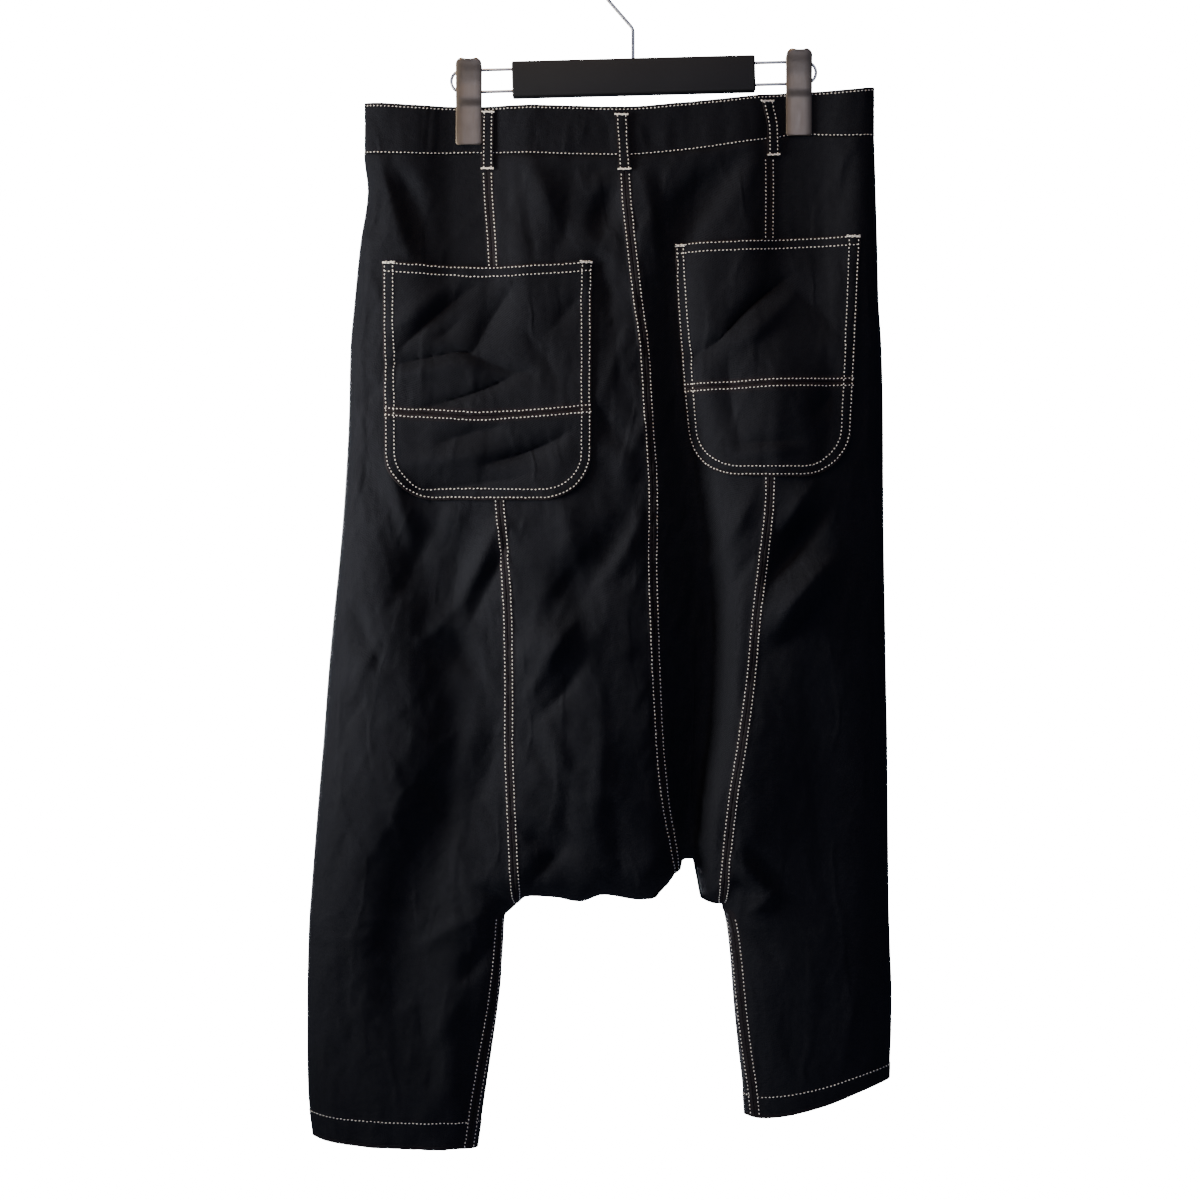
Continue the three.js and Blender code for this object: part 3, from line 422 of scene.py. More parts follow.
class HangingCloth:
    """The one surface that every cloth piece lies on."""

    def __init__(self) -> None:
        """Works out the inner edge of the legs and the seat."""
        left_z = np.linspace(-1019.6, CROTCH, 25)[:-1]
        right_z = np.linspace(CROTCH, -991.5, 25)[1:]
        seat_x = np.linspace(-99.0, 75.5, 81)
        self.edge_x = np.concatenate([SHANKS[Leg.LEFT].read("inner", left_z), seat_x,
                                      SHANKS[Leg.RIGHT].read("inner", right_z)])
        self.edge_z = np.concatenate([left_z, SEAT_EDGE.read("z", seat_x), right_z])
        self.noise = {Side.BACK: SoftNoise(11), Side.FRONT: SoftNoise(29)}

    def distance_to_edge(self, x: np.ndarray, z: np.ndarray) -> np.ndarray:
        """Returns the distance from places to the inner edge of the legs and the seat."""
        best = np.full(np.shape(x), np.inf)
        for ax, az, bx, bz in zip(self.edge_x[:-1], self.edge_z[:-1], self.edge_x[1:], self.edge_z[1:]):
            length2 = (bx - ax) ** 2 + (bz - az) ** 2
            t = np.clip(((x - ax) * (bx - ax) + (z - az) * (bz - az)) / length2, 0.0, 1.0)
            best = np.minimum(best, np.hypot(x - mix(ax, bx, t), z - mix(az, bz, t)))
        return best

    def fullness(self, x: np.ndarray, z: np.ndarray) -> np.ndarray:
        """Returns how far the cloth is rounded out, from 0 on the outline to 1 inside it."""
        low = z < CROTCH
        left = np.where(low, SHANKS[Leg.LEFT].read("outer", z), BODY.read("left", z))
        right = np.where(low, SHANKS[Leg.RIGHT].read("outer", z), BODY.read("right", z))
        reach = mix(30.0, 58.0, fade((-170.0 - z) / 400.0))
        right_reach = mix(32.0, 102.0, fade((-230.0 - z) / 290.0)) - 32.0 * fade((CROTCH - z) / 120.0)
        sides = round_over(x - left, reach) * round_over(right - x, right_reach)
        inside = mix(CROTCH_ROUND, SHANK_ROUND, fade((CROTCH + 10.0 - z) / 70.0))
        near = z < -690.0
        crotch = np.ones(np.shape(x))
        if np.any(near):
            crotch[near] = round_over(self.distance_to_edge(x[near], z[near]), inside[near])
        return sides * crotch

    def pinch(self, x: np.ndarray, z: np.ndarray) -> np.ndarray:
        """Returns 1 where a clip squeezes the cloth flat, fading to 0 beside and below it."""
        held = [1.0 - fade((np.abs(x - clip) - NIP_HALF) / NIP_FADE) for clip in CLIP_X.values()]
        return np.maximum(*held) * (1.0 - fade((-185.0 - z) / (-185.0 - NIP_END)))

    def fold_depth(self, side: Side, x: np.ndarray, z: np.ndarray) -> np.ndarray:
        """Returns how far the folds and creases of one side press the cloth in."""
        total = np.zeros(np.shape(x))
        for rows, share, point in ((LARGE_FOLDS, 1.6, 2.0), (SMALL_CREASES, 1.5, 1.4)):
            for number, (row_side, x1, z1, x2, z2, depth, width) in enumerate(rows):
                if row_side is side:
                    total += depth * share * self.spindle(x - x1, z - z1, x2 - x1, z2 - z1, width, point, number)
        for table in LONG_FOLDS if side is Side.BACK else ():
            aside = x - table.read("x", z)
            reach = np.where(aside < 0, table.read("left_reach", z), table.read("right_reach", z))
            total += table.read("depth", z) * np.exp(-((aside / reach) ** 2))
        return total

    @staticmethod
    def spindle(x: np.ndarray, z: np.ndarray, dx: float, dz: float, width: float, point: float,
                number: int) -> np.ndarray:
        """Returns the share of one crease's depth: full in its middle, tapering to both ends and bowed a little.

        Args:
            x: Places across, from the crease's first end.
            z: Heights, from the crease's first end.
            dx: The crease's reach across.
            dz: The crease's reach upwards.
            width: How wide it is in the middle.
            point: How it falls off sideways, 2 for a soft trough and less for a pressed crease.
            number: Its place in the table, which decides its bow.
        """
        length = math.hypot(dx, dz)
        along = (x * dx + z * dz) / length ** 2
        swell = np.sin(math.pi * np.clip((along + 0.22) / 1.44, 0.0, 1.0))
        bow = 0.07 * length * math.sin(2.4 * number) * swell
        away = np.abs((z * dx - x * dz) / length - bow) / (width * (0.5 + 0.5 * swell))
        return swell * np.exp(-(away ** point))

    @staticmethod
    def under_pockets(side: Side, x: np.ndarray, z: np.ndarray) -> np.ndarray:
        """Returns the share of the small creases that is left where a second layer keeps the cloth flat."""
        share = np.ones(np.shape(x))
        if side is Side.BACK:
            for left, right, top, foot in POCKET_GROUNDS:
                inside = np.minimum(np.minimum(x - left, right - x), np.minimum(top - z, z - foot))
                share = share * (1.0 - 0.72 * fade((inside + 8.0) / 10.0))
        return share

    def crumple(self, side: Side, x: np.ndarray, z: np.ndarray) -> np.ndarray:
        """Returns the small irregular waves of the cloth, mostly running down it."""
        noise = self.noise[side]
        wide = noise.at(x / 34.0 + z / 210.0 + 40.0, z / 92.0 + 30.0) * 1.1
        pressed = 1.0 - np.abs(noise.at(x / 26.0 + z / 70.0 + 11.0, z / 58.0 + 23.0)) * 3.4
        crossed = 1.0 - np.abs(noise.at(x / 17.0 - z / 33.0 + 71.0, z / 30.0 + 3.0)) * 3.4
        short = 1.0 - np.abs(noise.at(x / 11.0 + z / 45.0 + 5.0, z / 19.0 + 63.0)) * 3.2
        fine = noise.at(x / 13.0 - z / 60.0 + 17.0, z / 27.0 + 51.0) * 0.6
        small = noise.at(x / 5.5 + z / 22.0 + 61.0, z / 8.5 + 7.0) * 0.16
        worn = (0.45 + 0.75 * fade((140.0 - x) / 120.0)) * self.under_pockets(side, x, z)
        sharp = np.maximum(pressed, 0.0) ** 2 * 0.8 + np.maximum(crossed, 0.0) ** 2 * 0.7
        sharp = sharp + np.maximum(short, 0.0) ** 2 * 0.4
        return wide * fade((-150.0 - z) / 120.0) + (sharp * fade((-180.0 - z) / 60.0) + fine + small) * worn

    def bulge(self, side: Side, x: np.ndarray, z: np.ndarray) -> np.ndarray:
        """Returns the distance of the cloth from the middle plane on one side."""
        leg_depth = np.where(x < 0, SHANKS[Leg.LEFT].read("depth", z), SHANKS[Leg.RIGHT].read("depth", z))
        depth = np.where(z < CROTCH, leg_depth, BODY.read("depth", z))
        held = self.pinch(x, z)
        full = self.fullness(x, z)
        loose = depth - self.fold_depth(side, x, z) + self.crumple(side, x, z)
        open_depth = full * np.where(loose < 6.0, 2.0 + 4.0 * np.exp((loose - 6.0) / 4.0), loose)
        return mix(open_depth, np.minimum(NIP, full * depth), held)

    def place(self, side: Side | np.ndarray, x: np.ndarray, level: np.ndarray, leg: Leg | None = None) -> np.ndarray:
        """Returns points of the cloth.

        Args:
            side: The side, or an array of its signs where a row runs round an edge.
            x: Places across.
            level: Heights before the lines of the waist seam and the hems are applied.
            leg: The leg whose hem shapes the lowest levels, if any.

        Returns:
            The points, with x, y and z last.
        """
        x, level = np.broadcast_arrays(np.asarray(x, dtype=float), np.asarray(level, dtype=float))
        if isinstance(side, Side):
            y = side.value * self.bulge(side, x, level)
        else:
            y = np.where(side < 0, -self.bulge(Side.BACK, x, level), self.bulge(Side.FRONT, x, level))
        foot, top = WAIST.read("foot", x), WAIST.read("top", x)
        ease = fade((level - EASE_END) / (BAND_FOOT - EASE_END))
        z = level + (foot - BAND_FOOT) * ease
        down = (BAND_TOP - level) / (BAND_TOP - BAND_FOOT)
        z = np.where(level >= BAND_FOOT, mix(top, foot, down), z)
        if leg is not None:
            last = SHANKS[leg].column("z")[-1]
            low = np.clip((level - CROTCH) / (last - CROTCH), 0.0, None)
            z = z + (HEMS[leg].read("z", x) - last) * low ** 2
        return np.stack([x, y, z], axis=-1)

    def level_at(self, x: np.ndarray, z: np.ndarray) -> np.ndarray:
        """Returns the levels that end at given heights, for places above the crotch."""
        top, foot = WAIST.read("top", x), WAIST.read("foot", x)
        band = mix(BAND_TOP, BAND_FOOT, np.clip((top - z) / (top - foot), 0.0, 1.0))
        level = np.array(z, dtype=float)
        for _ in range(12):
            ease = fade((level - EASE_END) / (BAND_FOOT - EASE_END))
            level = np.minimum(z - (foot - BAND_FOOT) * ease, BAND_FOOT)
        return np.where(z >= foot, band, level)

    def over(self, side: Side, x: np.ndarray, z: np.ndarray, lift: np.ndarray | float) -> tuple[np.ndarray, np.ndarray]:
        """Returns points raised off the cloth, and the directions in which they are raised.

        Args:
            side: The side of the trousers.
            x: Places across.
            z: Real heights.
            lift: How far off the middle of the cloth the points lie.

        Returns:
            The points and their unit normals.
        """
        x, z = np.broadcast_arrays(np.asarray(x, dtype=float), np.asarray(z, dtype=float))
        out = lambda px, pz: self.bulge(side, px, self.level_at(px, pz))
        here = out(x, z)
        slope_x = (out(x + 1.5, z) - out(x - 1.5, z)) / 3.0
        slope_z = (out(x, z + 1.5) - out(x, z - 1.5)) / 3.0
        normal = np.stack([-slope_x, np.full(x.shape, side.value), -slope_z], axis=-1)
        normal /= np.linalg.norm(normal, axis=-1, keepdims=True)
        base = np.stack([x, side.value * here, z], axis=-1)
        return base + normal * np.expand_dims(np.broadcast_to(lift, x.shape), -1), normal


HANGING = HangingCloth()
FRONT_SHIFT = {"princess_left": 1.6, "princess_right": -1.6}     # of the front seams, clear of the back ones


def seam_line(side: Side, column: str, level: np.ndarray) -> np.ndarray:
    """Returns where a lengthwise seam runs on one side, so that no gap shows through both."""
    shift = FRONT_SHIFT.get(column, 0.0) if side is Side.FRONT else 0.0
    return BODY.read(column, level) + shift * fade((level - CROTCH) / 60.0)


def linear(code: str) -> tuple[float, float, float, float]:
    """Turns an sRGB hex colour to linear light, with full alpha."""
    channels = [int(code.lstrip("#")[i:i + 2], 16) / 255.0 for i in (0, 2, 4)]
    light = [c / 12.92 if c <= 0.04045 else ((c + 0.055) / 1.055) ** 2.4 for c in channels]
    return (light[0], light[1], light[2], 1.0)


def add_node(material: bpy.types.Material, kind: str, settings: dict | None = None,
             inputs: dict | None = None) -> bpy.types.Node:
    """Adds a shader node with its settings and links.

    Args:
        material: The material whose tree takes the node.
        kind: The node's type name.
        settings: Attributes to set on the node.
        inputs: Values or output sockets, by input name or number.

    Returns:
        The new node.
    """
    tree = material.node_tree
    node = tree.nodes.new(kind)
    for name, value in (settings or {}).items():
        setattr(node, name, value)
    for name, value in (inputs or {}).items():
        if isinstance(value, bpy.types.NodeSocket):
            tree.links.new(value, node.inputs[name])
        else:
            node.inputs[name].default_value = value
    return node


def new_material(name: str) -> bpy.types.Material:
    """Returns a new material with an empty node tree."""
    material = bpy.data.materials.new(name)
    material.use_nodes = True
    material.node_tree.nodes.clear()
    return material


def finish_material(material: bpy.types.Material, shader: bpy.types.Node) -> bpy.types.Material:
    """Links a shader to the material's output and returns the material."""
    add_node(material, "ShaderNodeOutputMaterial", inputs={"Surface": shader.outputs[0]})
    return material


@dataclass(frozen=True)
class CottonDrill:
    """Piece-dyed cotton drill: a close twill with a dry, faintly dusty nap that lightens where it is rubbed."""

    name: str = "cotton_drill"
    dye: str = "#050609"
    nap: str = "#0c0d11"
    rubbed: str = "#191211"
    lustre: str = "#eceeff"      # the dye's blue cast, where the light is reflected
    rib: float = 1.3             # spacing of the twill's ribs in millimetres, twice the real one so that it shows

    def build(self) -> bpy.types.Material:
        """Returns the material, which reads the piece's own UV map in millimetres."""
        m = new_material(self.name)
        uv = add_node(m, "ShaderNodeUVMap", {"uv_map": "cloth"}).outputs["UV"]
        slant = add_node(m, "ShaderNodeMapping", {"vector_type": "POINT"}, {"Vector": uv, "Rotation": (0.0, 0.0, 1.08)})
        rib = add_node(m, "ShaderNodeTexWave", {"wave_type": "BANDS", "bands_direction": "X"},
                       {"Vector": slant.outputs[0], "Scale": 0.314 / self.rib, "Distortion": 1.2, "Detail": 2.0,
                        "Detail Scale": 0.8})
        thread = add_node(m, "ShaderNodeTexNoise", {}, {"Vector": uv, "Scale": 0.9, "Detail": 4.0, "Roughness": 0.7})
        blotch = add_node(m, "ShaderNodeTexNoise", {}, {"Vector": uv, "Scale": 0.021, "Detail": 5.0, "Roughness": 0.6})
        lint = add_node(m, "ShaderNodeTexNoise", {}, {"Vector": uv, "Scale": 0.17, "Detail": 8.0, "Roughness": 0.75})
        dusty = add_node(m, "ShaderNodeMapRange", {}, {"Value": blotch.outputs["Fac"], "From Min": 0.35, "From Max": 0.7})
        specks = add_node(m, "ShaderNodeMapRange", {}, {"Value": lint.outputs["Fac"], "From Min": 0.5, "From Max": 0.72})
        both = add_node(m, "ShaderNodeMath", {"operation": "ADD"}, {0: dusty.outputs[0], 1: specks.outputs[0]})
        share = add_node(m, "ShaderNodeMath", {"operation": "MULTIPLY"}, {0: both.outputs[0], 1: 0.5})
        ground = add_node(m, "ShaderNodeMix", {"data_type": "RGBA"},
                          {"Factor": share.outputs[0], "A": linear(self.dye), "B": linear(self.nap)})
        rub = add_node(m, "ShaderNodeAttribute", {"attribute_name": "rub"})
        colour = add_node(m, "ShaderNodeMix", {"data_type": "RGBA"},
                          {"Factor": rub.outputs["Fac"], "A": ground.outputs["Result"], "B": linear(self.rubbed)})
        grain = add_node(m, "ShaderNodeMath", {"operation": "MULTIPLY_ADD"},
                         {0: rib.outputs["Fac"], 1: 0.35, 2: thread.outputs["Fac"]})
        weave = add_node(m, "ShaderNodeBump", {}, {"Height": grain.outputs[0], "Strength": 0.8, "Distance": 0.0006})
        puckers = add_node(m, "ShaderNodeBump", {},
                           {"Height": lint.outputs["Fac"], "Strength": 0.6, "Distance": 0.0018,
                            "Normal": weave.outputs[0]})
        normal = puckers.outputs[0]
        for turn, scale, height in ((0.5, 0.010, 0.0009), (-0.5, 0.016, 0.0006)):
            normal = self.pressed(m, uv, turn, scale, height, normal)
        shader = add_node(m, "ShaderNodeBsdfPrincipled", {},
                          {"Base Color": colour.outputs["Result"], "Roughness": 0.7, "Normal": normal,
                           "Sheen Weight": 0.004, "Sheen Roughness": 0.5, "Sheen Tint": linear(self.lustre),
                           "Specular IOR Level": 0.14, "Specular Tint": linear(self.lustre)})
        return finish_material(m, shader)

    @staticmethod
    def pressed(m: bpy.types.Material, uv: bpy.types.NodeSocket, turn: float, scale: float, height: float,
                normal: bpy.types.NodeSocket) -> bpy.types.NodeSocket:
        """Adds thin pressed creases that run mostly one way.

        Args:
            m: The cloth's material.
            uv: The cloth's coordinates in millimetres.
            turn: The direction of the creases, in radians.
            scale: How many lie side by side in a millimetre.
            height: How high they stand, in metres.
            normal: The surface's normal before them.

        Returns:
            The surface's normal with them.
        """
        placed = add_node(m, "ShaderNodeMapping", {}, {"Vector": uv, "Rotation": (0.0, 0.0, turn),
                                                       "Scale": (scale, scale * 0.34, 1.0)})
        field = add_node(m, "ShaderNodeTexNoise", {},
                         {"Vector": placed.outputs[0], "Scale": 1.0, "Detail": 3.0, "Roughness": 0.45})
        level = add_node(m, "ShaderNodeMath", {"operation": "SUBTRACT"}, {0: field.outputs["Fac"], 1: 0.5})
        away = add_node(m, "ShaderNodeMath", {"operation": "ABSOLUTE"}, {0: level.outputs[0]})
        line = add_node(m, "ShaderNodeMapRange", {"interpolation_type": "SMOOTHSTEP"},
                        {"Value": away.outputs[0], "From Min": 0.0, "From Max": 0.05, "To Min": 1.0, "To Max": 0.0})
        bump = add_node(m, "ShaderNodeBump", {}, {"Height": line.outputs[0], "Strength": 0.8, "Distance": height,
                                                  "Normal": normal})
        return bump.outputs[0]


@dataclass(frozen=True)
class TopstitchThread:
    """Spun polyester topstitching thread: thick, dry and undyed cream, with a slight twist."""

    name: str = "topstitch_thread"
    cream: str = "#fdf8ec"
    shade: str = "#e6decd"

    def build(self) -> bpy.types.Material:
        """Returns the material, which reads Object coordinates."""
        m = new_material(self.name)
        place = add_node(m, "ShaderNodeTexCoord").outputs["Object"]
        twist = add_node(m, "ShaderNodeTexNoise", {}, {"Vector": place, "Scale": 900.0, "Detail": 2.0})
        colour = add_node(m, "ShaderNodeMix", {"data_type": "RGBA"},
                          {"Factor": twist.outputs["Fac"], "A": linear(self.cream), "B": linear(self.shade)})
        bump = add_node(m, "ShaderNodeBump", {}, {"Height": twist.outputs["Fac"], "Strength": 0.4, "Distance": 0.0002})
        shader = add_node(m, "ShaderNodeBsdfPrincipled", {},
                          {"Base Color": colour.outputs["Result"], "Roughness": 0.75, "Normal": bump.outputs[0],
                           "Specular IOR Level": 0.3})
        return finish_material(m, shader)


@dataclass(frozen=True)
class Metal:
    """A bare or plated steel, brushed or drawn along its length."""

    name: str
    colour: str
    worn: str
    roughness: float
    grain: tuple[float, float, float]     # the stretch of the grain in each axis, per metre

    def build(self) -> bpy.types.Material:
        """Returns the material, which reads Object coordinates."""
        m = new_material(self.name)
        place = add_node(m, "ShaderNodeTexCoord").outputs["Object"]
        drawn = add_node(m, "ShaderNodeMapping", {}, {"Vector": place, "Scale": self.grain})
        grain = add_node(m, "ShaderNodeTexNoise", {}, {"Vector": drawn.outputs[0], "Scale": 1.0, "Detail": 4.0})
        patina = add_node(m, "ShaderNodeTexNoise", {}, {"Vector": place, "Scale": 70.0, "Detail": 5.0})
        colour = add_node(m, "ShaderNodeMix", {"data_type": "RGBA"},
                          {"Factor": patina.outputs["Fac"], "A": linear(self.colour), "B": linear(self.worn)})
        rough = add_node(m, "ShaderNodeMapRange", {},
                         {"Value": grain.outputs["Fac"], "To Min": self.roughness * 0.8, "To Max": self.roughness * 1.25})
        bump = add_node(m, "ShaderNodeBump", {}, {"Height": grain.outputs["Fac"], "Strength": 0.12, "Distance": 0.0001})
        shader = add_node(m, "ShaderNodeBsdfPrincipled", {},
                          {"Base Color": colour.outputs["Result"], "Metallic": 1.0, "Roughness": rough.outputs[0],
                           "Normal": bump.outputs[0]})
        return finish_material(m, shader)


@dataclass(frozen=True)
class SoftTouchPlastic:
    """Moulded plastic with a fine, matt black spark-eroded surface."""

    name: str = "soft_touch_plastic"
    colour: str = "#131314"
    worn: str = "#1a1a1b"

    def build(self) -> bpy.types.Material:
        """Returns the material, which reads Object coordinates."""
        m = new_material(self.name)
        place = add_node(m, "ShaderNodeTexCoord").outputs["Object"]
        grit = add_node(m, "ShaderNodeTexNoise", {}, {"Vector": place, "Scale": 1500.0, "Detail": 2.0})
        haze = add_node(m, "ShaderNodeTexNoise", {}, {"Vector": place, "Scale": 24.0, "Detail": 4.0})
        colour = add_node(m, "ShaderNodeMix", {"data_type": "RGBA"},
                          {"Factor": haze.outputs["Fac"], "A": linear(self.colour), "B": linear(self.worn)})
        bump = add_node(m, "ShaderNodeBump", {}, {"Height": grit.outputs["Fac"], "Strength": 0.25, "Distance": 0.0001})
        shader = add_node(m, "ShaderNodeBsdfPrincipled", {},
                          {"Base Color": colour.outputs["Result"], "Roughness": 0.6, "Normal": bump.outputs[0],
                           "Specular IOR Level": 0.2})
        return finish_material(m, shader)


FINISHES = {
    "cloth": CottonDrill().build(),
    "thread": TopstitchThread().build(),
    "clip": Metal("pewter_plated_steel", "#74685b", "#61574c", 0.42, (900.0, 900.0, 60.0)).build(),
    "wire": Metal("drawn_steel_wire", "#a9a5a0", "#87827c", 0.24, (300.0, 300.0, 300.0)).build(),
    "button": Metal("gunmetal_button", "#3a3634", "#4a4542", 0.38, (500.0, 500.0, 500.0)).build(),
    "bar": SoftTouchPlastic().build(),
}


def finished(obj: bpy.types.Object, finish: str, nodes: tuple[str, ...] = ()) -> bpy.types.Object:
    """Dresses a piece, sets it on the body and hides the CAD nodes that it stands for.

    Args:
        obj: The finished piece.
        finish: The key of its material in FINISHES.
        nodes: The CAD nodes that it replaces.

    Returns:
        The same piece.
    """
    obj.data.materials.clear()
    obj.data.materials.append(FINISHES[finish])
    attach(obj, "root")
    if nodes:
        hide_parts(*nodes)
    LOG.info("%s: %d faces", obj.name, len(obj.data.polygons))
    return obj


def mesh_object(name: str, points: np.ndarray, faces: list, smooth: bool = True) -> bpy.types.Object:
    """Returns a new object from points in millimetres and faces."""
    mesh = bpy.data.meshes.new(name)
    mesh.from_pydata((points * MM).tolist(), [], faces)
    mesh.validate()
    if smooth:
        mesh.polygons.foreach_set("use_smooth", [True] * len(mesh.polygons))
    mesh.update()
    obj = bpy.data.objects.new(name, mesh)
    bpy.context.scene.collection.objects.link(obj)
    return obj


def grid_normals(points: np.ndarray) -> np.ndarray:
    """Returns the unit normals of a grid of points, from its neighbours."""
    across, down = np.gradient(points, axis=1), np.gradient(points, axis=0)
    normals = np.cross(across, down)
    return normals / np.maximum(np.linalg.norm(normals, axis=-1, keepdims=True), 1e-9)


def cloth_wall(name: str, middle: np.ndarray, thickness: float, rub: np.ndarray | None = None) -> bpy.types.Object:
    """Builds a closed wall on a grid of points, with a UV map in millimetres of cloth.

    Args:
        name: The piece's name.
        middle: The grid of the wall's middle surface, in millimetres.
        thickness: The wall's thickness.
        rub: How rubbed the cloth is at each point, from 0 to 1.

    Returns:
        The new object.
    """
    rows, columns, _ = middle.shape
    normals = grid_normals(middle)
    outer, inner = middle + normals * thickness / 2.0, middle - normals * thickness / 2.0
    count = rows * columns
    at = np.arange(count).reshape(rows, columns)
    quads = np.stack([at[:-1, :-1], at[:-1, 1:], at[1:, 1:], at[1:, :-1]], axis=-1).reshape(-1, 4)
    faces = [quads, quads[:, ::-1] + count]
    rim = np.concatenate([at[0, :-1], at[:-1, -1], at[-1, :0:-1], at[:0:-1, 0]])
    after = np.roll(rim, -1)
    faces.append(np.stack([after, rim, rim + count, after + count], axis=-1))
    faces = np.concatenate(faces)
    volume_sign = np.sum((outer - outer.mean(axis=(0, 1))) * normals)
    obj = mesh_object(name, np.concatenate([outer.reshape(-1, 3), inner.reshape(-1, 3)]), faces.tolist())
    if signed_volume(obj) < 0:
        obj.data.flip_normals()
    LOG.debug("%s turned outwards, %s", name, volume_sign > 0)
    along = np.zeros((rows, columns))
    along[:, 1:] = np.cumsum(np.linalg.norm(np.diff(middle, axis=1), axis=-1), axis=1)
    along -= along[:, columns // 2:columns // 2 + 1]
    down = np.zeros((rows, columns))
    down[1:, :] = np.cumsum(np.linalg.norm(np.diff(middle, axis=0), axis=-1), axis=0)
    down = mix(down, down.mean(axis=1, keepdims=True), 0.0)
    uv_points = np.stack([along, down], axis=-1).reshape(-1, 2)
    uv_points = np.concatenate([uv_points, uv_points])
    layer = obj.data.uv_layers.new(name="cloth")
    loops = np.empty(len(obj.data.loops), dtype=np.int32)
    obj.data.loops.foreach_get("vertex_index", loops)
    layer.data.foreach_set("uv", uv_points[loops].astype(np.float32).ravel())
    attribute = obj.data.attributes.new("rub", "FLOAT", "POINT")
    worn = np.zeros(count) if rub is None else rub.reshape(-1)
    attribute.data.foreach_set("value", np.concatenate([worn, worn]).astype(np.float32))
    return obj


def signed_volume(obj: bpy.types.Object) -> float:
    """Returns the volume that a closed mesh holds, negative where its faces point in."""
    bm = bmesh.new()
    bm.from_mesh(obj.data)
    volume = bm.calc_volume(signed=True)
    bm.free()
    return volume


def seam_ridge(distance: np.ndarray) -> np.ndarray:
    """Returns the height of a felled seam's turnings at a distance from the seam, with its needle grooves."""
    turned = 0.55 * (1.0 - fade((distance - TWIN / 2 - 0.7) / 1.1))
    groove = 0.32 * np.exp(-(((distance - TWIN / 2) / 0.8) ** 2))
    middle = 0.12 * np.exp(-((distance / 0.7) ** 2))
    return turned - groove - middle


def seam_columns(width: np.ndarray, count: int, start: bool, end: bool) -> np.ndarray:
    """Returns distances across a panel, close together beside its sewn edges.

    Args:
        width: The panel's width in each row.
        count: How many columns lie between the sewn edges.
        start: Whether the first edge is sewn.
        end: Whether the last edge is sewn.

    Returns:
        An array of rows by columns, from 0 to the width.
    """
    near = np.array([0.0, 0.9, 1.9, 2.8, 3.5, 4.2, 5.0, 6.2, 8.0])
    width = np.asarray(width, dtype=float).reshape(-1, 1)
    first = near[None, :] * np.ones_like(width) if start else np.zeros_like(width)
    last = width - near[None, ::-1] if end else width
    inner = mix(first[:, -1:], last[:, :1], np.linspace(0.0, 1.0, count + 2)[None, 1:-1])
    return np.concatenate([first, inner, last], axis=1)


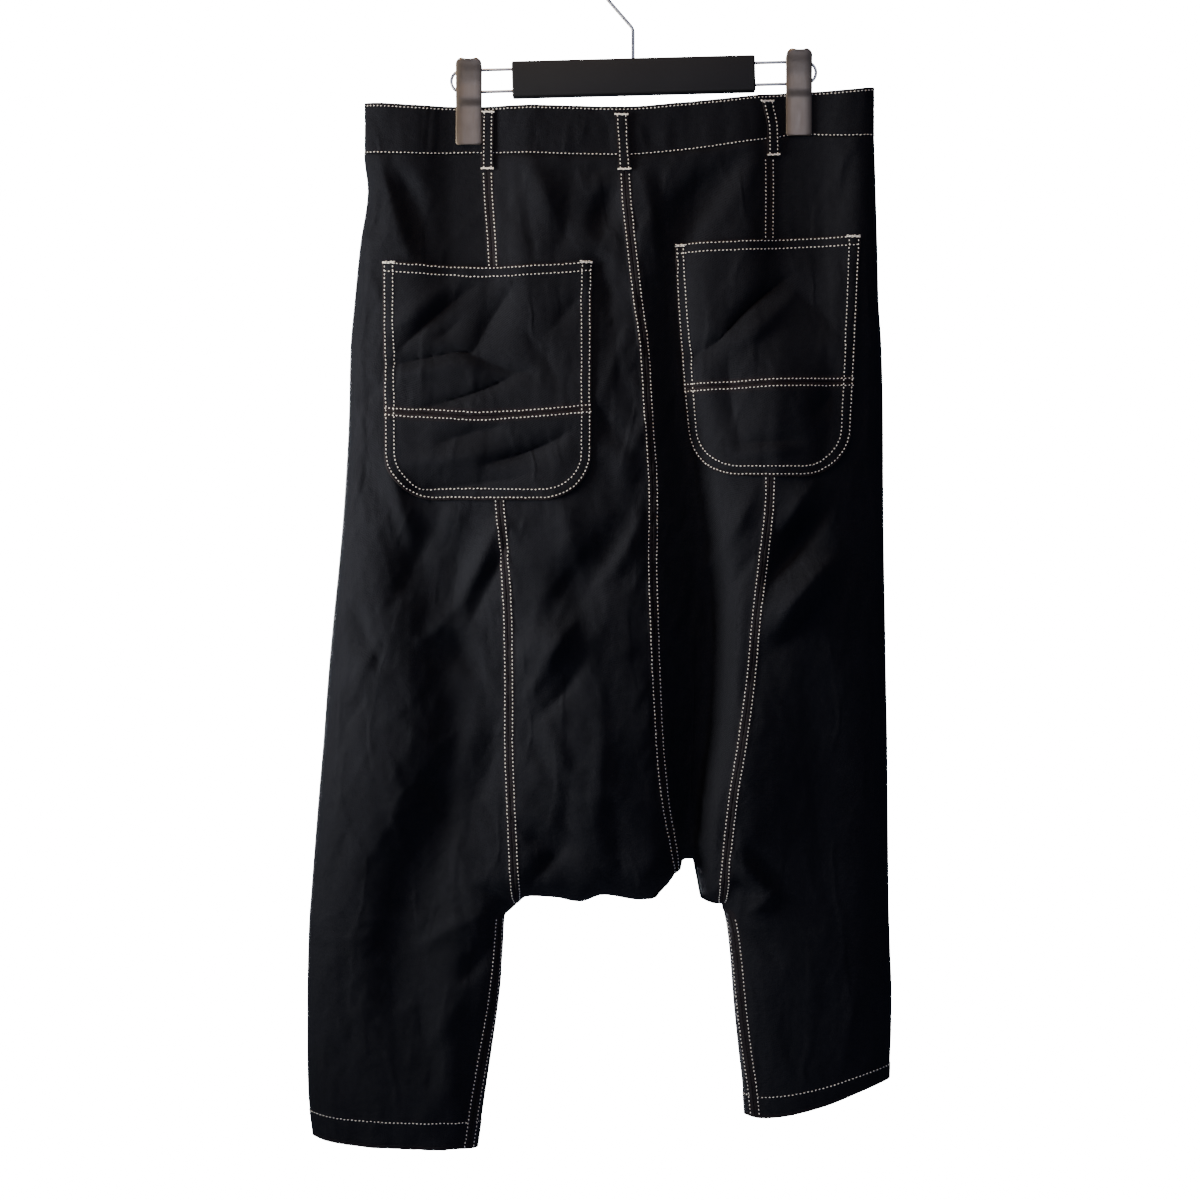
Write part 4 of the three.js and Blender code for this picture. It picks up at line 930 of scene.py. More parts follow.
class LegPanel:
    """The panel of one leg, round the outside from its back seam to its front seam and down to the hem."""

    def __init__(self, leg: Leg) -> None:
        """Keeps the leg.

        Args:
            leg: Which leg the panel makes.
        """
        self.leg = leg
        self.last = SHANKS[leg].column("z")[-1]

    def at(self, turn: np.ndarray, level: np.ndarray) -> tuple[np.ndarray, np.ndarray]:
        """Returns the side's sign and the place across for places round the leg.

        Args:
            turn: From -1 at the back seam, through 0 at the outer edge, to 1 at the front seam.
            level: Heights.

        Returns:
            The signs of the sides and the places across.
        """
        low = level < CROTCH
        table, inward = SHANKS[self.leg], self.leg.inward
        outer = np.where(low, table.read("outer", level), BODY.read(self.leg.value, level))
        seam = np.where(low, table.read("inseam", level), BODY.read(self.leg.princess, level))
        inner = np.where(low, table.read("inner", level), seam_line(Side.FRONT, self.leg.princess, level))
        back = mix(outer, seam - inward * SEAM / 2, np.clip(-turn, 0, 1) ** 1.5)
        share = np.where(low, np.clip(np.abs((seam - inner) / (inner - outer)), 0, 1), 0.0)
        wrap = np.where(low, 2.0 / math.pi * np.arcsin(np.sqrt(share)), 0.0)
        way = np.clip(turn, 0, 1) * (1.0 + wrap) - np.where(low, 0.002, 0.0)
        rounded = (1.0 - np.cos(math.pi * way)) / 2.0
        spread = mix(np.clip(turn, 0, 1) ** 1.5, rounded, fade((-690.0 - level) / 110.0))
        front = mix(outer, inner - np.where(low, 0.0, inward * SEAM / 2), spread)
        sign = np.where((turn <= 0) | (way > 1.0), -1.0, 1.0)
        return sign, np.where(turn <= 0, back, front)

    def build(self) -> bpy.types.Object:
        """Returns the panel as a closed wall."""
        body_rows = np.concatenate([np.linspace(BAND_FOOT, -185, 5), np.linspace(-188, -770, 176)])
        corner_rows = mix(-773.0, CROTCH, 1 - (1 - np.linspace(0, 1, 16)) ** 1.5)
        shank_rows = np.concatenate([mix(CROTCH, -850.0, np.linspace(0, 1, 17)[1:] ** 1.3),
                                     np.linspace(-853.5, self.last + 1.5, 50), [self.last + 0.7, self.last]])
        level = np.concatenate([body_rows, corner_rows, shank_rows])[:, None]
        near = np.array([0.0, 0.006, 0.012, 0.018, 0.024, 0.03, 0.038, 0.05])
        back = np.concatenate([near, np.linspace(0.066, 1.0, 54)])
        front = np.concatenate([np.linspace(0.0, 0.95, 50)[1:], 1.0 - near[::-1]])
        turn = np.concatenate([back - 1.0, front])[None, :] + np.zeros_like(level)
        level = level + np.zeros_like(turn)
        sign, x = self.at(turn, level)
        middle = HANGING.place(sign, x, level, self.leg)
        princess = np.where(sign < 0, BODY.read(self.leg.princess, level),
                            seam_line(Side.FRONT, self.leg.princess, level))
        seam_x = np.where(level < CROTCH, SHANKS[self.leg].read("inseam", level), princess)
        distance = np.abs(x - seam_x)
        beside = fade((level - CROTCH) / -6.0) * fade((sign < 0) * 1.0)
        sewn = np.where(level > CROTCH, 1.0, beside)
        rise = seam_ridge(distance) * sewn
        hem = level - self.last
        fold = 0.5 * (1.0 - fade((hem - HEM_ROW[self.leg] - 0.6) / 1.4))
        fold -= 0.35 * np.exp(-(((hem - HEM_ROW[self.leg]) / 0.9) ** 2))
        rise = np.maximum(rise, 0) * (hem > 30) + rise * (hem <= 30) + np.where(hem < 30, fold, 0.0)
        middle = middle + raised(middle, rise)
        rub = np.clip(0.55 * np.exp(-((distance / 4.4) ** 4)) * sewn + 0.7 * np.exp(-((hem / 2.0) ** 2)), 0, 1)
        obj = cloth_wall(f"leg_{self.leg.value}_cloth", middle, CLOTH, rub)
        finished(obj, "cloth", (f"leg_{self.leg.value}",))
        return obj

    def hem_row(self) -> tuple[np.ndarray, np.ndarray]:
        """Returns the line of the hem's stitching round the leg, and its outward directions."""
        turn = np.linspace(-0.985, 0.985, 420)
        rows = self.last + HEM_ROW[self.leg] + np.array([-1.0, 0.0, 1.0])
        level = rows[:, None] + np.zeros((3, len(turn)))
        sign, x = self.at(turn[None, :] + np.zeros_like(level), level)
        points = HANGING.place(sign, x, level, self.leg)
        normals = grid_normals(points)[1]
        centre = points[1].mean(axis=0)
        if np.sum((points[1] - centre) * normals) < 0:
            normals = -normals
        return points[1] + normals * (CLOTH / 2 + 0.35), normals


def raised(middle: np.ndarray, rise: np.ndarray) -> np.ndarray:
    """Returns the moves that lift a grid of points outwards, away from the middle plane."""
    normals = grid_normals(middle)
    facing = np.sum(normals * middle * np.array([0.0, 1.0, 0.0]))
    return normals * np.sign(facing) * rise[..., None]


@dataclass(frozen=True)
class SeatPanel:
    """One of the four panels of the dropped seat, between two lengthwise seams."""

    name: str
    side: Side
    start: str
    end: str
    columns: int

    def build(self) -> bpy.types.Object:
        """Returns the panel as a closed wall."""
        widths = BODY.read(self.end, CROTCH) - BODY.read(self.start, CROTCH)
        down = np.concatenate([np.linspace(0, 0.04, 6), np.linspace(0.05, 0.93, 150), mix(0.93, 1.0, 1 - (1 - np.linspace(0, 1, 18)[1:]) ** 2)])
        shares = seam_columns(np.array([100.0]), self.columns, True, True)[0] / 100.0
        foot_x = mix(BODY.read(self.start, CROTCH), BODY.read(self.end, CROTCH), shares)
        foot = SEAT_EDGE.read("z", foot_x)
        level = mix(BAND_FOOT, foot[None, :], down[:, None])
        a, b = seam_line(self.side, self.start, level), seam_line(self.side, self.end, level)
        width = b - a - SEAM
        across = seam_columns(width.mean(axis=1), self.columns, True, True)
        x = a + SEAM / 2 + across / across[:, -1:] * width
        middle = HANGING.place(self.side, x, level)
        middle[-1, :, 1] = self.side.value * SEAM / 2
        distance = np.minimum(x - a, b - x)
        rise = seam_ridge(distance) * fade((level - foot[None, :]) / 5.0)
        middle[:-2] += raised(middle, rise)[:-2]
        rub = 0.55 * np.exp(-((distance / 4.4) ** 4))
        LOG.debug("%s is %.0f mm wide at its foot", self.name, widths)
        obj = cloth_wall(f"{self.name}_cloth", middle, CLOTH, rub)
        return finished(obj, "cloth", (self.name,))


class Waistband:
    """The waistband: one strip from its under end at the centre front, round the body, to its lap."""

    def route(self) -> tuple[np.ndarray, np.ndarray, np.ndarray]:
        """Returns the side's sign, the place across and the tuck inwards along the strip."""
        edge = np.array([0.0, 0.25, 0.9, 2.0, 3.6, 5.6, 8.2, 11.5, 15.5, 20.0, 25.0])
        left, right = -227.2, 204.2
        middle = np.arange(left + 29.0, right - 28.0, 3.6)
        across = np.concatenate([left + edge, middle, (right - edge)[::-1]])
        under = np.concatenate([[LAP_UNDER], across[across > LAP_UNDER + 1]])
        over = np.concatenate([across[across < LAP_OVER - 1], [LAP_OVER]])
        sign = np.concatenate([np.ones(len(under)), -np.ones(len(across) - 2), np.ones(len(over))])
        x = np.concatenate([under, across[1:-1][::-1], over])
        tuck = np.zeros(len(x))
        tuck[:len(under)] = (BAND + SEAM) * (1.0 - fade((under - LAP_OVER) / 20.0))
        return sign, x, tuck

    def build(self) -> bpy.types.Object:
        """Returns the waistband as a closed wall."""
        sign, x, tuck = self.route()
        down = np.concatenate([[0.0, 0.015, 0.04, 0.06, 0.08, 0.11], np.linspace(0.15, 0.93, 15), [0.955, 0.972, 0.985, 1.0]])
        level = mix(BAND_TOP, BAND_FOOT, down)[:, None] + np.zeros((1, len(x)))
        sign = sign[None, :] + np.zeros_like(level)
        place_x = x[None, :] + np.zeros_like(level)
        middle = HANGING.place(sign, place_x, level)
        middle[..., 1] -= tuck[None, :]
        middle[..., 2] += 0.3 * down[:, None]
        seam = down[:, None] * 43.0
        groove = -0.35 * np.exp(-(((seam - 2.5) / 0.8) ** 2)) - 0.3 * np.exp(-(((seam - 41.9) / 0.8) ** 2))
        ripple = HANGING.noise[Side.BACK].at(x / 7.0 + 5.0, seam / 30.0 + 3.0) * 0.6
        free = 1.0 - HANGING.pinch(place_x, level)
        middle = middle + raised(middle, (groove + ripple) * free)
        rub = 0.7 * np.exp(-((seam / 1.6) ** 2)) + np.zeros_like(level)
        obj = cloth_wall("waistband_cloth", middle, BAND, rub)
        return finished(obj, "cloth", ("waistband",))


@dataclass(frozen=True)
class BeltLoop:
    """A belt loop: a felled strip over the waistband, tacked at both ends."""

    name: str
    side: Side
    line: Table

    def centre(self, z: np.ndarray) -> np.ndarray:
        """Returns the place across of the loop's centre line at some heights."""
        return self.line.read("x", z)

    def lift(self, share: np.ndarray) -> np.ndarray:
        """Returns how far the loop's middle lies over the band, by the share of the way down it."""
        return BAND / 2 + LOOP_GAP + LOOP_WALL / 2 + LOOP_SLACK * np.sin(math.pi * share)

    def build(self) -> bpy.types.Object:
        """Returns the loop as a closed wall."""
        ends = self.line.column("z")
        share = np.linspace(0, 1, 34)[:, None]
        z = mix(ends[0], ends[-1], share)
        u = np.array([-0.5, -0.47, -0.4, -0.34, -0.28, -0.15, 0.0, 0.15, 0.28, 0.34, 0.4, 0.47, 0.5])[None, :]
        x = self.centre(z) + u * LOOP_WIDTH
        z = z + np.zeros_like(x)
        belly = 0.25 * np.cos(u * math.pi) - 0.25 * np.exp(-(((np.abs(u) * LOOP_WIDTH - TWIN / 2) / 0.6) ** 2))
        middle, _ = HANGING.over(self.side, x, z, self.lift(share) + belly + np.zeros_like(x))
        rub = 0.8 * np.exp(-(((np.abs(u) - 0.5) / 0.06) ** 2)) + np.zeros_like(x)
        obj = cloth_wall(f"{self.name}_cloth", middle, LOOP_WALL - 0.2, np.clip(rub, 0, 1))
        return finished(obj, "cloth", (self.name,))


@dataclass(frozen=True)
class Pocket:
    """A patch pocket of two pieces: an upper with a hemmed mouth, and a lower with rounded corners."""

    name: str
    left: float
    left_foot: float
    right: float
    right_foot: float
    mouth_left: float
    mouth_right: float
    seam_left: float
    seam_right: float
    foot_left: float
    foot_right: float
    sag: float = 0.0
    radius: float = 40.0

    def mouth(self, u: np.ndarray) -> np.ndarray:
        """Returns the height of the mouth's edge by the share of the way across."""
        return mix(self.mouth_left, self.mouth_right, u) - self.sag * np.sin(math.pi * u)

    def seam(self, u: np.ndarray) -> np.ndarray:
        """Returns the height of the seam between the two pieces by the share of the way across."""
        return mix(self.seam_left, self.seam_right, u) - self.sag * np.sin(math.pi * u)

    def sides(self, z: np.ndarray) -> tuple[np.ndarray, np.ndarray]:
        """Returns the places across of the pocket's two side edges at some heights, before its corners."""
        down = np.clip((self.mouth_left - z) / (self.mouth_left - self.foot_left), 0, 1)
        return mix(self.left, self.left_foot, down), mix(self.right, self.right_foot, down)

    def lift(self, x: np.ndarray, z: np.ndarray) -> np.ndarray:
        """Returns how far the pocket's middle lies over the panels."""
        low, high = self.sides(z)
        u = np.clip((x - low) / (high - low), 0, 1)
        down = np.clip((self.mouth_left - z) / (self.mouth_left - self.foot_left), 0, 1)
        return CLOTH + POCKET_GAP + POCKET_SLACK * np.sin(math.pi * u) * (1.0 - down * down)

    def outline(self, inset: float, count: int) -> tuple[np.ndarray, np.ndarray]:
        """Returns a line round the sides and foot, some way in from the edge.

        Args:
            inset: How far in from the edge the line runs.
            count: How many points each straight run has.

        Returns:
            The places across and the heights, from the mouth's left end round to its right end.
        """
        corner = mix(self.foot_left, self.foot_right, 0.5) + self.radius
        reach = self.radius - inset
        down_left = np.linspace(self.mouth_left, corner, count)
        up_right = np.linspace(corner, self.mouth_right, count)
        low, _ = self.sides(down_left)
        _, high = self.sides(up_right)
        angle = np.linspace(0, math.pi / 2, 26)
        xl = self.sides(corner - self.radius * np.sin(angle))[0] + self.radius
        xr = self.sides(corner - self.radius * np.sin(angle))[1] - self.radius
        left_arc = (xl - reach * np.cos(angle), corner - reach * np.sin(angle))
        right_arc = ((xr + reach * np.cos(angle))[::-1], (corner - reach * np.sin(angle))[::-1])
        x = np.concatenate([low + inset, left_arc[0][1:], right_arc[0], (high - inset)[1:]])
        z = np.concatenate([down_left, left_arc[1][1:], right_arc[1], up_right[1:]])
        return x, z

    def piece(self, part: str) -> bpy.types.Object:
        """Returns one of the two pieces as a closed wall.

        Args:
            part: The name of the piece, upper or lower.
        """
        edge = np.array([0, 0.006, 0.012, 0.018, 0.026, 0.036, 0.046, 0.056, 0.066])
        u = np.concatenate([edge, np.linspace(0.08, 0.92, 56), 1 - edge[::-1]])[None, :]
        seam = self.seam(u)
        corner = mix(self.foot_left, self.foot_right, u) + self.radius
        if part == "upper":
            v = np.concatenate([np.linspace(0, 0.1, 12), np.linspace(0.125, 0.95, 40), [0.97, 0.985, 1.0]])[:, None]
            z = mix(self.mouth(u), seam + SEAM / 2, v)
            inset = np.zeros_like(z)
        else:
            v = np.concatenate([[0.0, 0.03, 0.06, 0.1, 0.2, 0.3], np.linspace(0.42, 1.0, 7)])
            turn = np.linspace(0, math.pi / 2, 22)[1:]
            upper = mix(seam - SEAM / 2, corner, v[:, None])
            lower = corner - self.radius * np.sin(turn)[:, None]
            z = np.concatenate([upper, lower])
            inset = np.concatenate([np.zeros((len(v), 1)), self.radius * (1 - np.cos(turn))[:, None]])
        low, high = self.sides(z)
        x = mix(low + inset, high - inset, u)
        mouth = self.mouth(u) - z
        edge_gap = np.where(z < corner, self.corner_gap(x, z, low, high, corner), np.minimum(x - low, high - x))
        turned = 0.45 * (1 - fade((edge_gap - 8.6) / 1.5)) + 0.5 * (1 - fade((mouth - 9.5) / 1.5))
        felled = 0.5 * (1 - fade((np.abs(z - seam) - 4.1) / 1.2)) if part == "upper" else 0.5 * (1 - fade((seam - z - 4.1) / 1.2))
        groove = sum(0.35 * np.exp(-(((edge_gap - d) / 0.8) ** 2)) for d in (1.7, 8.4))
        groove = groove + 0.35 * np.exp(-(((mouth - 1.6) / 0.8) ** 2)) + 0.35 * np.exp(-(((mouth - 8.6) / 0.8) ** 2))
        middle, _ = HANGING.over(Side.BACK, x, z, self.lift(x, z) + turned + felled - groove)
        rub = np.exp(-((edge_gap / 1.3) ** 2)) + np.exp(-((mouth / 1.5) ** 2)) + 0.9 * np.exp(-(((z - seam) / 4.4) ** 4))
        obj = cloth_wall(f"{self.name}_{part}_cloth", middle, CLOTH, np.clip(rub * 0.9, 0, 1))
        return finished(obj, "cloth", (f"{self.name}_{part}",))

    def corner_gap(self, x: np.ndarray, z: np.ndarray, low: np.ndarray, high: np.ndarray,
                   corner: np.ndarray) -> np.ndarray:
        """Returns the distance from the pocket's edge at places beside its rounded foot."""
        inner_x = np.clip(x, low + self.radius, high - self.radius)
        return self.radius - np.hypot(x - inner_x, np.minimum(z - corner, 0.0))

    def rows(self) -> list[tuple[np.ndarray, np.ndarray]]:
        """Returns the lines of the pocket's stitching, as places across and heights."""
        lines = [self.outline(1.7, 60), self.outline(8.4, 60)]
        x = np.linspace(self.left + 1.0, self.right - 1.0, 60)
        share = (x - self.left) / (self.right - self.left)
        for drop in (1.6, 8.6):
            lines.append((x, self.mouth(np.clip(share, 0, 1)) - drop))
        seam_low, seam_high = self.sides(np.array([self.seam_left, self.seam_right]))
        x = np.linspace(seam_low[0] - 0.3, seam_high[1] + 0.6, 60)
        share = (x - seam_low[0]) / (seam_high[1] - seam_low[0])
        for drop in (-2.9, 2.9):
            lines.append((x, self.seam(np.clip(share, 0, 1)) - drop))
        return lines

    def build(self) -> list[bpy.types.Object]:
        """Returns both pieces."""
        return [self.piece("upper"), self.piece("lower")]


@dataclass(frozen=True)
class FlyLap:
    """The fly's lap: a strip beside the front centre seam that curves into it at its foot."""

    width: float = 38.0
    foot: float = -352.0
    bend: float = 0.72
    cover: float = 2.4      # how far its top reaches past the seam

    def edge(self, v: np.ndarray) -> np.ndarray:
        """Returns the strip's width by the share of the way down it."""
        return self.width * np.sqrt(np.maximum(0.004, 1 - (np.clip(v - self.bend, 0, 1) / (1 - self.bend)) ** 2))

    def build(self) -> bpy.types.Object:
        """Returns the lap as a closed wall."""
        top = float(WAIST.read("foot", -20.0)) - 1.0
        v = np.concatenate([np.linspace(0, 0.7, 40), mix(0.7, 1.0, 1 - (1 - np.linspace(0, 1, 26)[1:]) ** 2)])[:, None]
        z = mix(top, self.foot, v)
        u = np.linspace(0, 1, 18)[None, :]
        x = BODY.read("front_centre", z) + self.cover * (1 - np.clip(v, 0, 1)) - self.edge(v) * (1 - u)
        z = z + np.zeros_like(x)
        middle, _ = HANGING.over(Side.FRONT, x, z, CLOTH + POCKET_GAP)
        obj = cloth_wall("fly_lap_cloth", middle, CLOTH)
        return finished(obj, "cloth", ("fly_lap",))

    def row(self, inset: float) -> tuple[np.ndarray, np.ndarray]:
        """Returns a line of stitching along the lap's free edge, some way in from it."""
        top = float(WAIST.read("foot", -20.0)) - 1.0
        v = np.linspace(0.0, 0.965, 200)
        z = mix(top, self.foot + inset, v)
        return BODY.read("front_centre", z) - SEAM - np.maximum(self.edge(v) - inset, 0.5), z


class Stitching:
    """Rows of topstitching, each stitch a short sunk-ended thread, gathered into one piece."""

    def __init__(self, name: str) -> None:
        """Starts an empty group of rows.

        Args:
            name: The name of the finished piece.
        """
        self.name = name
        self.points: list[np.ndarray] = []
        self.faces: list[np.ndarray] = []
        self.count = 0
        sides = 6
        ring = np.linspace(0, 2 * math.pi, sides, endpoint=False) + math.pi / 6
        sections = ((-0.34, 0.82, 0.02), (0.0, 1.0, 0.16), (0.34, 0.82, 0.02))
        shape = [(-0.5, 0.0, -0.42)]
        for along, size, rise in sections:
            shape += [(along, size * math.cos(a), size * 0.8 * math.sin(a) + rise) for a in ring]
        shape.append((0.5, 0.0, -0.42))
        self.shape = np.array(shape)
        faces = []
        for i in range(sides):
            j = (i + 1) % sides
            faces.append((0, 1 + j, 1 + i, 1 + i))
            for k in range(2):
                faces.append((1 + k * sides + i, 1 + k * sides + j, 1 + (k + 1) * sides + j, 1 + (k + 1) * sides + i))
            faces.append((1 + 3 * sides, 1 + 2 * sides + i, 1 + 2 * sides + j, 1 + 2 * sides + j))
        self.pattern = np.array(faces)

    def along(self, points: np.ndarray, normals: np.ndarray, pitch: float = STITCH, radius: float = THREAD,
              fill: float = 0.48, wander: float = 0.12) -> None:
        """Sews stitches along a line.

        Args:
            points: The line, in millimetres.
            normals: The cloth's outward directions along it.
            pitch: The length of a stitch with its hole.
            radius: Half the thread's width.
            fill: The share of the pitch that the thread covers.
            wander: How far a stitch strays sideways.
        """
        steps = np.linalg.norm(np.diff(points, axis=0), axis=1)
        run = np.concatenate([[0.0], np.cumsum(steps)])
        total = max(1, int(round(run[-1] / pitch)))
        marks = (np.arange(total) + 0.5) * run[-1] / total
        half = 0.5 * fill * run[-1] / total
        pick = lambda at, data: np.stack([np.interp(at, run, data[:, i]) for i in range(3)], axis=-1)
        start, end = pick(marks - half, points), pick(marks + half, points)
        middle, up = pick(marks, points), pick(marks, normals)
        way = end - start
        length = np.linalg.norm(way, axis=1, keepdims=True)
        way = way / np.maximum(length, 1e-6)
        across = np.cross(up, way)
        across /= np.maximum(np.linalg.norm(across, axis=1, keepdims=True), 1e-6)
        up = np.cross(way, across)
        stray = np.sin(np.arange(total) * 2.399 + len(self.points))[:, None] * wander
        skew = (np.sin(np.arange(total) * 1.71)[:, None] * 0.05 + 0.06)
        way = way + across * skew
        local = self.shape
        centre = middle + across * stray
        vertices = (centre[:, None, :] + way[:, None, :] * (local[None, :, 0:1] * length[:, None, :])
                    + across[:, None, :] * local[None, :, 1:2] * radius + up[:, None, :] * local[None, :, 2:3] * radius)
        offsets = self.count + np.arange(total)[:, None, None] * len(local)
        self.points.append(vertices.reshape(-1, 3))
        self.faces.append((self.pattern[None] + offsets).reshape(-1, 4))
        self.count += total * len(local)

    def on_cloth(self, side: Side, x: np.ndarray, z: np.ndarray, lift: np.ndarray | float, **options: float) -> None:
        """Sews a row along places of one side of the trousers."""
        lift = np.broadcast_to(np.asarray(lift, dtype=float), np.shape(x))
        run = np.concatenate([[0.0], np.cumsum(np.hypot(np.diff(x), np.diff(z)))])
        even = np.linspace(0.0, run[-1], max(2, int(run[-1] / 1.4)))
        x, z, lift = (np.interp(even, run, values) for values in (x, z, lift))
        points, normals = HANGING.over(side, x, z, lift)
        self.along(points, normals, **options)

    def tack(self, side: Side, x: float, z: float, width: float, slope: float, lift: float) -> None:
        """Sews a bar tack: two close rows of short threads across a strip."""
        across = np.linspace(-width / 2, width / 2, 24)
        for drop in (-0.35, 0.35):
            self.on_cloth(side, x + across, z + across * slope + drop, lift, pitch=1.5, radius=0.42, fill=1.2, wander=0.2)

    def build(self) -> bpy.types.Object:
        """Returns all the rows as one piece."""
        faces = [tuple(dict.fromkeys(face)) for face in np.concatenate(self.faces).tolist()]
        obj = mesh_object(self.name, np.concatenate(self.points), faces)
        return finished(obj, "thread")


def deselect() -> None:
    """Leaves edit mode and deselects every object."""
    if bpy.context.object and bpy.context.object.mode != "OBJECT":
        bpy.ops.object.mode_set(mode="OBJECT")
    bpy.ops.object.select_all(action="DESELECT")


def settle(obj: bpy.types.Object, turn: Matrix | None = None) -> bpy.types.Object:
    """Applies a piece's place to its mesh and smooths its faces up to the sharp edges.

    Args:
        obj: The modelled piece.
        turn: A matrix to apply first, such as the bar's tilt.

    Returns:
        The same piece, at the origin.
    """
    deselect()
    if turn is not None:
        obj.matrix_world = turn @ obj.matrix_world
        bpy.context.view_layer.update()
    obj.select_set(True)
    bpy.context.view_layer.objects.active = obj
    bpy.ops.object.transform_apply(location=True, rotation=True, scale=True)
    bpy.ops.object.shade_smooth_by_angle(angle=math.radians(35))
    return obj


def apply_modifier(obj: bpy.types.Object, kind: str, **settings: float | int | str) -> None:
    """Adds a modifier with its settings and applies it."""
    deselect()
    obj.select_set(True)
    bpy.context.view_layer.objects.active = obj
    modifier = obj.modifiers.new(kind.lower(), kind)
    for name, value in settings.items():
        setattr(modifier, name, value)
    bpy.ops.object.modifier_apply(modifier=modifier.name)


HANGER_TILT = Matrix.Translation(Vector((BAR_X, 0.0, BAR_Z)) * MM) @ Matrix.Rotation(-math.radians(TILT), 4, "Y")


class WireForm:
    """A wire drawn by hand: a round section that is extruded straight and spun round bends."""

    def __init__(self, name: str, start: tuple[float, float], heading: float, radius: float) -> None:
        """Adds the wire's end face.

        Args:
            name: The piece's name.
            start: Where the wire starts, as x and z in millimetres.
            heading: Its direction, in degrees from +X towards +Z.
            radius: Half the wire's thickness.
        """
        deselect()
        self.heading = math.radians(heading)
        self.point = Vector((start[0], 0.0, start[1])) * MM
        bpy.ops.mesh.primitive_circle_add(vertices=16, radius=radius * MM, fill_type="NGON", location=self.point,
                                          rotation=(0.0, math.pi / 2 - self.heading, 0.0))
        self.obj = bpy.context.object
        self.obj.name = self.obj.data.name = name
        bpy.ops.object.transform_apply(location=True, rotation=True, scale=True)
        bpy.ops.object.mode_set(mode="EDIT")
        bpy.ops.mesh.select_all(action="SELECT")

    def straight(self, length: float, steps: int = 3) -> "WireForm":
        """Extrudes the wire straight on by a length in millimetres."""
        move = Vector((math.cos(self.heading), 0.0, math.sin(self.heading))) * (length * MM / steps)
        for _ in range(steps):
            bpy.ops.mesh.extrude_region_move(TRANSFORM_OT_translate={"value": move})
        self.point += move * steps
        return self

    def bend(self, radius: float, degrees: float, steps: int) -> "WireForm":
        """Spins the wire round a bend.

        Args:
            radius: The bend's radius at the wire's middle, in millimetres.
            degrees: How far it turns, positive from +X towards +Z.
            steps: The number of sections round the bend.

        Returns:
            The same wire.
        """
        turn = math.radians(degrees)
        hand = 1.0 if degrees > 0 else -1.0
        aside = Vector((-math.sin(self.heading), 0.0, math.cos(self.heading))) * hand
        centre = self.point + aside * radius * MM
        bpy.ops.mesh.spin(steps=steps, angle=abs(turn), center=centre, axis=(0.0, hand, 0.0))
        self.heading += turn
        back = self.point - centre
        self.point = centre + Matrix.Rotation(-turn, 3, "Y") @ back
        return self

    def done(self, turn: Matrix | None = None) -> bpy.types.Object:
        """Closes the wire's ends and returns it as a finished mesh."""
        bpy.ops.object.mode_set(mode="OBJECT")
        bm = bmesh.new()
        bm.from_mesh(self.obj.data)
        bmesh.ops.remove_doubles(bm, verts=bm.verts, dist=1e-7)
        loose = [edge for edge in bm.edges if edge.is_boundary]
        if loose:
            bmesh.ops.holes_fill(bm, edges=loose, sides=0)
        bmesh.ops.recalc_face_normals(bm, faces=bm.faces)
        bm.to_mesh(self.obj.data)
        bm.free()
        return settle(self.obj, turn)


